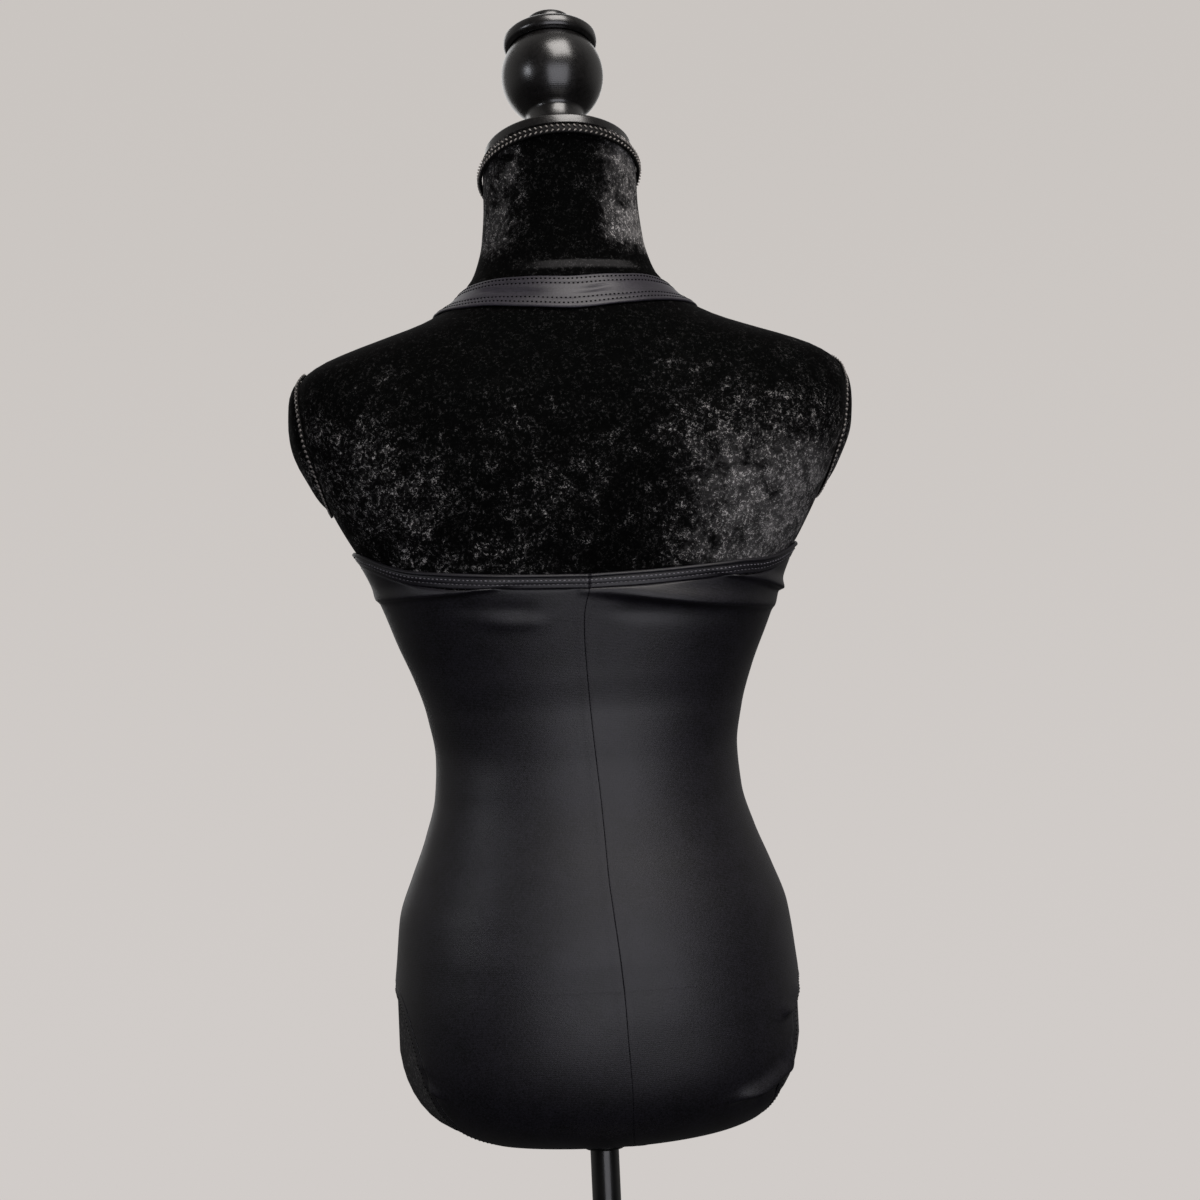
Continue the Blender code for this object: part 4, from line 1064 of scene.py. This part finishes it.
band = {
    "wide": 10.5,
    "step": 0.0022,
    "rows": ((6.1, 1.0), (3.1, 0.45)),      # the needle rows, mm from the panel's edge, and their size
    "joint": (0.0055, 0.0004),       # the left back band's doubled end at the centre seam, its width and lift
    "backOver": 0.86,                # the height over which a place lies on a back band
    "sideDrop": 0.0005,              # how much closer those lie at the body's sides
    "seamReach": 0.00013,            # how far they reach over the centre seam, so that they touch
    "foldShare": 0.35,               # how much of the panel's folds and of its ease passes under the band
    "easeShare": 0.8,
    "top": {
        "section": ((0.0, 2.6), (0.05, 3.2), (0.5, 3.5), (1.2, 3.55), (2.2, 3.5), (2.8, 3.38), (3.1, 3.3),
                    (3.4, 3.38), (4.2, 3.6), (5.2, 3.6), (5.8, 3.42), (6.1, 3.35), (6.4, 3.4), (6.9, 3.2),
                    (7.4, 2.6), (7.8, 2.4), (8.2, 2.9), (8.8, 3.75), (9.4, 3.85), (10.0, 3.3),
                    (10.35, 2.5), (10.5, 1.8), (10.3, 1.3), (9.7, 1.0), (8.5, 1.0), (6.0, 1.3),
                    (3.0, 1.7), (0.4, 1.9), (0.05, 2.1), (0.0, 2.6)),
        "stitch": {"long": 0.0022, "pitch": 0.0034, "radius": 0.00046, "height": 3.45},
        # pale thread: a painted highlight on the raised stitches
        "thread": paintedHighlightThread,
    },
    # the leg bands lie flatter towards their free edge
    "leg": {
        "section": ((0.0, 2.0), (0.05, 2.5), (0.5, 2.7), (1.2, 2.75), (2.2, 2.7), (2.8, 2.62), (3.1, 2.55),
                    (3.4, 2.6), (4.2, 2.7), (5.2, 2.6), (5.8, 2.45), (6.1, 2.4), (6.4, 2.4), (7.0, 2.3),
                    (7.6, 2.1), (8.1, 2.0), (8.6, 1.9), (9.2, 1.8), (9.8, 1.6), (10.3, 1.35),
                    (10.5, 1.0), (10.3, 0.7), (9.7, 0.6), (8.5, 0.6), (6.0, 0.8), (3.0, 1.1),
                    (0.4, 1.3), (0.05, 1.6), (0.0, 2.0)),
        "stitch": {"long": 0.0019, "pitch": 0.0034, "radius": 0.00046, "height": 2.42},
        # near-black thread: the painted shade of needle holes
        "thread": paintedShadeThread,
    },
}


def bandStrips(line, outside, wrap=False, spanned=False):
    out = np.cross(directionsAlong(line, wrap), normalsAt(line, spanned))
    out *= np.sign((out * (outside - line)).sum(-1).mean())
    return np.array([settle(line + out * cut["bandWidth"] * share, spanned) for share in (0.0, 0.5, 1.0)])


def acrossStrips(strips, share):
    # a place across three strips, by a curve through them
    near, middle, far = strips
    return (near * (2 * (share - 0.5) * (share - 1)) + middle * (4 * share * (1 - share))
            + far * (2 * share * (share - 0.5)))


def raisedLine(strips, place, height, wide, spanned, extraLift):
    # the line at that place across, lifted off the form by millimetres, with its outward directions
    surface = settle(acrossStrips(strips, place / wide), spanned, 2)
    outward = normalsAt(surface, spanned)
    return surface + outward * (height / 1000 + extraLift(surface, place))[:, None], outward


def sweepSection(name, strips, section, material, replaced, wide, extraLift, wrap=False, spanned=False):
    points = np.array([raisedLine(strips, place, height, wide, spanned, extraLift)[0]
                       for place, height in section])
    if wrap:
        points = np.concatenate([points, points[:, :1]], axis=1)
    bm = clothMesh(points, weld=2e-6)
    ends = [edge for edge in bm.edges if edge.is_boundary]
    if ends:
        bmesh.ops.holes_fill(bm, edges=ends, sides=0)
    return finishPiece(name, bm, material, replaced)


def stitchRow(bm, points, outward, long, pitch, radius, gapShift=0.0):
    # small raised stitches along a line, each a few faces
    at = runLengths(points, 0)
    size = Matrix.Diagonal((long / 2, radius, radius, 1))
    for place in np.arange(pitch * (0.5 + gapShift), at[-1], pitch):
        ahead = placeOn(points, at, min(place + 0.001, at[-1]))
        run = (ahead - placeOn(points, at, max(place - 0.001, 0))).normalized()
        out = placeOn(outward, at, place).normalized()
        turn = Matrix((run, out.cross(run).normalized(), out)).transposed().to_4x4()
        matrix = Matrix.Translation(placeOn(points, at, place)) @ turn @ size
        bmesh.ops.create_icosphere(bm, subdivisions=1, radius=1.0, matrix=matrix)


def bandStitches(name, strips, rows, stitch, thread, wide, extraLift, wrap=False, spanned=False):
    bm = bmesh.new()
    if wrap:
        strips = np.concatenate([strips, strips[:, :1]], axis=1)
    for index, (place, size) in enumerate(rows):
        line, outward = raisedLine(strips, place, stitch["height"], wide, spanned, extraLift)
        stitchRow(bm, line, outward, stitch["long"], stitch["pitch"], stitch["radius"] * size, 0.4 * index)
    return finishPiece(name, bm, thread)


def bandLift(surface, place):
    # a fold passes under the band softened, and the left back band is doubled where it meets the right one
    x, y, z = np.moveaxis(surface, -1, 0)
    onBack = z > band["backOver"]
    wide, high = band["joint"]
    fromSeam = x - seamPlace("back", cut["backEdge"])
    joint = high * smoothStep(-0.0004, 0.0004, fromSeam) * (1 - smoothStep(wide * 0.85, wide, fromSeam))
    atSide = -band["sideDrop"] * smoothStep(0.135, 0.160, np.abs(x)) * onBack
    folds = (foldLift(surface) - legEase(surface)) * band["foldShare"]
    return folds + legEase(surface) * band["easeShare"] + joint * (y > 0) * onBack + atSide


# each cloth piece, its points and its stitches
clothPieces = [(backLeft, backLeftPoints, []), (backRight, backRightPoints, []),
               (frontPanel, frontPoints, [])]


def makeBand(name, strips, replaced, kind="top", wrap=False, spanned=False):
    count = int(runLengths(strips, 1)[-1] / band["step"]) + 2
    strips = resample(strips, count + (1 if wrap else 0), 1, closed=wrap)
    if wrap:
        strips = strips[:, :-1]
    strips = settle(strips, spanned)
    made, laid = band[kind], {"wide": band["wide"], "extraLift": bandLift, "wrap": wrap, "spanned": spanned}
    piece = sweepSection(name, strips, made["section"], bodyKnit, [replaced], **laid)
    stitches = bandStitches(name + "Stitches", strips, band["rows"], made["stitch"], made["thread"], **laid)
    shown = np.concatenate([strips, strips[:, :1]], axis=1) if wrap else strips
    clothPieces.append((piece, shown, [stitches]))


up = np.array([0.0, 0.0, 1.0])
for side, label in ((1, "Left"), (-1, "Right")):
    rows = backTopRows(side, (cut["bandWidth"], cut["bandWidth"] / 2, 0.0), 24)
    seamEnd = 0 if abs(rows[0, 0, 0]) < abs(rows[0, -1, 0]) else -1
    rows[:, seamEnd, 0] -= side * band["seamReach"]
    makeBand("backBand" + label, rows, "leotard_back_band_" + label.lower())
coarseFront = frontGrid()
top = coarseFront[-1]
last = len(top) - 1
armCount = cut["armColumns"]
for label, line in (("Left", top[:armCount]), ("Right", top[last - armCount + 1:][::-1])):
    makeBand("armholeBand" + label, bandStrips(line, line + up, spanned=True),
             "leotard_arm_band_" + label.lower(), spanned=True)
neckLine = top[armCount: last - armCount + 1]
makeBand("necklineBand", bandStrips(neckLine, neckLine + up, spanned=True), "leotard_neck_band", spanned=True)
firstBack = len(backTopShares) + len(backHeights)
firstFront = len(frontTurns) + len(legHeights)
for side, label, edge in ((1, "Left", 0), (-1, "Right", -1)):
    line = np.concatenate([backGrid(side)[firstBack:, -1], coarseFront[1: firstFront - 1, edge]])
    makeBand("legBand" + label, bandStrips(line, line.mean(axis=0), wrap=True),
             "leotard_leg_band_" + label.lower(), "leg", wrap=True)
print("bands and their coverstitch")

strap = {
    "wide": 29.0,
    # a closed section across the strap, from its lower edge to its upper one, mm across and over the form
    "section": ((0.0, 1.7), (0.2, 2.4), (0.8, 2.75), (2.0, 2.8), (3.6, 2.72), (4.0, 2.62), (4.4, 2.72),
                (6.0, 2.85), (8.2, 2.75), (8.6, 2.62), (9.0, 2.75), (11.0, 2.9), (13.0, 2.85),
                (15.3, 2.8), (17.5, 2.85), (19.5, 2.9), (21.6, 2.75), (22.0, 2.62), (22.4, 2.75),
                (24.2, 2.85), (25.8, 2.72), (26.2, 2.62), (26.6, 2.72), (27.6, 2.8), (28.4, 2.7),
                (28.85, 2.3), (29.0, 1.7), (28.6, 1.15), (27.5, 1.0), (20.0, 1.0), (14.5, 1.0),
                (9.0, 1.0), (1.5, 1.0), (0.4, 1.15), (0.0, 1.7)),
    "rows": ((4.0, 1.0), (8.6, 1.0), (22.0, 1.0), (26.2, 1.0)),
    "stitch": {"long": 0.0019, "pitch": 0.0034, "radius": 0.00068, "height": 2.72},
    "length": 230,                   # its columns
    "shoulderDrop": 0.0007,          # how much closer it lies over the shoulders
    # the slack between the rows over the nape: place, half length, place across, half width, depth, slope
    "hollows": ((0.0370, 0.0150, 13.6, 2.2, 0.0021, 60.0), (-0.0180, 0.0110, 16.2, 1.9, 0.0018, -60.0),
                (0.0600, 0.0070, 17.0, 1.6, 0.0016, 240.0)),
}


def strapStrips():
    half = np.array(strapLine)
    line = np.concatenate([half, (half * (-1, 1, 1))[-2::-1]])
    line = settle(resample(settle(line, rounds=8), strap["length"]), rounds=8)
    cross = np.cross(directionsAlong(line), normalsAt(line))
    cross *= np.sign(cross[len(cross) // 2, 2])
    return np.array([settle(line + cross * cut["strapWidth"] * share) for share in (-0.5, 0.0, 0.5)])


def strapWave(surface, place):
    x, y, z = np.moveaxis(surface, -1, 0)
    lift = 0.00012 * np.sin(130 * x + 0.3 * place)
    lift -= strap["shoulderDrop"] * smoothStep(0.055, 0.085, np.abs(x))
    for centre, long, across, wide, deep, slope in strap["hollows"]:
        off = place - across - slope * (x - centre)
        lift = lift - deep * np.exp(-(((x - centre) / long) ** 2) - (off / wide) ** 2) * (y > 0)
    return lift


def makeStrap():
    strips = strapStrips()
    laid = {"wide": strap["wide"], "extraLift": strapWave}
    # in the lighter copy of the knit, painted light
    piece = sweepSection("neckStrap", strips, strap["section"], strapKnitPaintedLight, ["leotard_neck_strap"], **laid)
    # its needle holes as near-black stitches, painted shade
    stitches = bandStitches("neckStrapStitches", strips, strap["rows"], strap["stitch"], paintedShadeThread, **laid)
    clothPieces.append((piece, strips, [stitches]))


makeStrap()


# The needle holes of the centre seam, drawn as stitches in near-black thread: painted shade

seamStitch = {"pitch": 0.0023, "long": 0.0012, "radius": 0.00020, "lift": 0.00010}


def makeSeamStitches():
    bm = bmesh.new()
    line = backLeftPoints[:, 0]
    outward = normalsAt(line)
    stitchRow(bm, line + outward * seamStitch["lift"], outward, seamStitch["long"], seamStitch["pitch"],
              seamStitch["radius"])
    return finishPiece("centreSeamStitches", bm, paintedShadeThread)


clothPieces[0][2].append(makeSeamStitches())
print("cloth pieces declared:", len(clothPieces))


# Studio: floor, light and camera

studio = {
    "backdropLow": "#d1ccc9",       # the seen backdrop, near the floor and high up
    "backdropHigh": "#cac5c1",
    "behind": 0.26,                 # light that comes back from the backdrop behind the form
    "room": 0.05,                   # light from the dark room on the camera's side
    "below": 0.17,                  # the share of it that comes from below
    "floorRadius": 1.9,
    "cameraTurn": 175.3,
    "cameraAway": 2.0,
    "cameraHeight": 0.862,
    "cameraRoll": 2.57,
    "focal": 78.0,
    "sideStep": 20 / 2600 * 2.0,    # metres to the right, twenty of the photo's pixels at the form
    # place, aim, size, power in watts, colour
    "lamps": (((-0.45, 1.00, 2.90), (0.0, 0.0, 0.95), 1.3, 42, "#fffaf6"),
              ((-0.45, 2.60, 0.95), (0.0, 0.0, 0.60), 2.2, 32, "#f8f7ff"),
              ((1.90, 1.05, 1.55), (0.0, 0.0, 1.05), 0.5, 5, "#f6f8ff"),
              ((0.20, -2.40, 1.70), (0.0, 0.0, 0.85), 2.4, 14, "#ffffff")),
}


def makeWorld():
    world = bpy.data.worlds.new("studio")
    bpy.context.scene.world = world
    world.use_nodes = True
    world.node_tree.nodes.clear()
    places = addNode(world, "ShaderNodeTexCoord").outputs
    x, y, z = addNode(world, "ShaderNodeSeparateXYZ", links={"Vector": places["Generated"]}).outputs
    ends = {6: sRgb(studio["backdropLow"]), 7: sRgb(studio["backdropHigh"])}
    backdrop = addNode(world, "ShaderNodeMix", {"data_type": "RGBA"}, ends,
                       {"Factor": addSpread(world, z, -0.20, 0.25)})
    seen = addNode(world, "ShaderNodeBackground", links={"Color": backdrop.outputs[2]})
    strength = addMaths(world, "MULTIPLY", addSpread(world, y, -0.35, 0.45, studio["behind"], studio["room"]),
                        addSpread(world, z, -0.45, 0.10, studio["below"], 1.0))
    light = addNode(world, "ShaderNodeBackground", inputs={"Color": sRgb("#fbf8f5")},
                    links={"Strength": strength})
    path = addNode(world, "ShaderNodeLightPath")
    mix = addNode(world, "ShaderNodeMixShader", links={"Fac": path.outputs["Is Camera Ray"],
                                                       1: light.outputs["Background"],
                                                       2: seen.outputs["Background"]})
    addNode(world, "ShaderNodeOutputWorld", links={"Surface": mix.outputs["Shader"]})


def makeFloor():
    # Matte seamless paper, laid flat: a pale floor that fades into the backdrop at its rim
    material, places = newMaterial("seamlessPaper", {"Roughness": 0.9, "Specular IOR Level": 0.2})
    fibre = addNoise(material, places["Object"], 260.0, 4.0)
    distance = addNode(material, "ShaderNodeVectorMath", {"operation": "LENGTH"}, links={0: places["Object"]})
    fade = addSpread(material, distance.outputs["Value"], 0.7, studio["floorRadius"] - 0.15, 1.0, 0.0)
    joinSurface(material, {"Base Color": addColours(material, fibre, ((0.3, "#d2cec9"), (0.7, "#dad6d1"))),
                           "Alpha": fade})
    bm = bmesh.new()
    bmesh.ops.create_circle(bm, cap_ends=True, segments=96, radius=studio["floorRadius"])
    mesh = bpy.data.meshes.new("floor")
    bm.to_mesh(mesh)
    bm.free()
    mesh.materials.append(material)
    floor = bpy.data.objects.new("floor", mesh)
    bpy.context.scene.collection.objects.link(floor)
    floor.visible_glossy = False
    floor.visible_diffuse = False      # its light would otherwise flatten the underside of the form


def aimAt(obj, place, target):
    obj.location = place
    obj.rotation_euler = (Vector(target) - Vector(place)).to_track_quat("-Z", "Y").to_euler()


def makeLamps():
    for number, (place, target, size, power, colour) in enumerate(studio["lamps"]):
        lamp = bpy.data.lights.new("softbox" + str(number), "AREA")
        lamp.shape = "RECTANGLE"
        lamp.size, lamp.size_y = size, size
        lamp.energy = power
        lamp.color = sRgb(colour)[:3]
        obj = bpy.data.objects.new(lamp.name, lamp)
        bpy.context.scene.collection.objects.link(obj)
        aimAt(obj, place, target)


def makeCamera():
    turn, roll = math.radians(studio["cameraTurn"]), math.radians(studio["cameraRoll"])
    away = studio["cameraAway"]
    forward = Vector((-math.sin(turn), math.cos(turn), 0))
    right = forward.cross(Vector((0, 0, 1)))
    place = Vector((away * math.sin(turn), -away * math.cos(turn), studio["cameraHeight"]))
    place += right * studio["sideStep"]
    across = right * math.cos(roll) - Vector((0, 0, 1)) * math.sin(roll)
    upward = right * math.sin(roll) + Vector((0, 0, 1)) * math.cos(roll)
    data = bpy.data.cameras.new("camera")
    data.sensor_width = 36.0
    data.lens = studio["focal"]
    data.clip_start, data.clip_end = 0.05, 60.0
    camera = bpy.data.objects.new("camera", data)
    camera.matrix_world = Matrix.Translation(place) @ Matrix((across, upward, -forward)).transposed().to_4x4()
    bpy.context.scene.collection.objects.link(camera)
    bpy.context.scene.camera = camera


makeWorld()
makeFloor()
makeLamps()
makeCamera()
bpy.context.scene.view_settings.view_transform = "Standard"
print("studio ready")

bpy.context.view_layer.update()
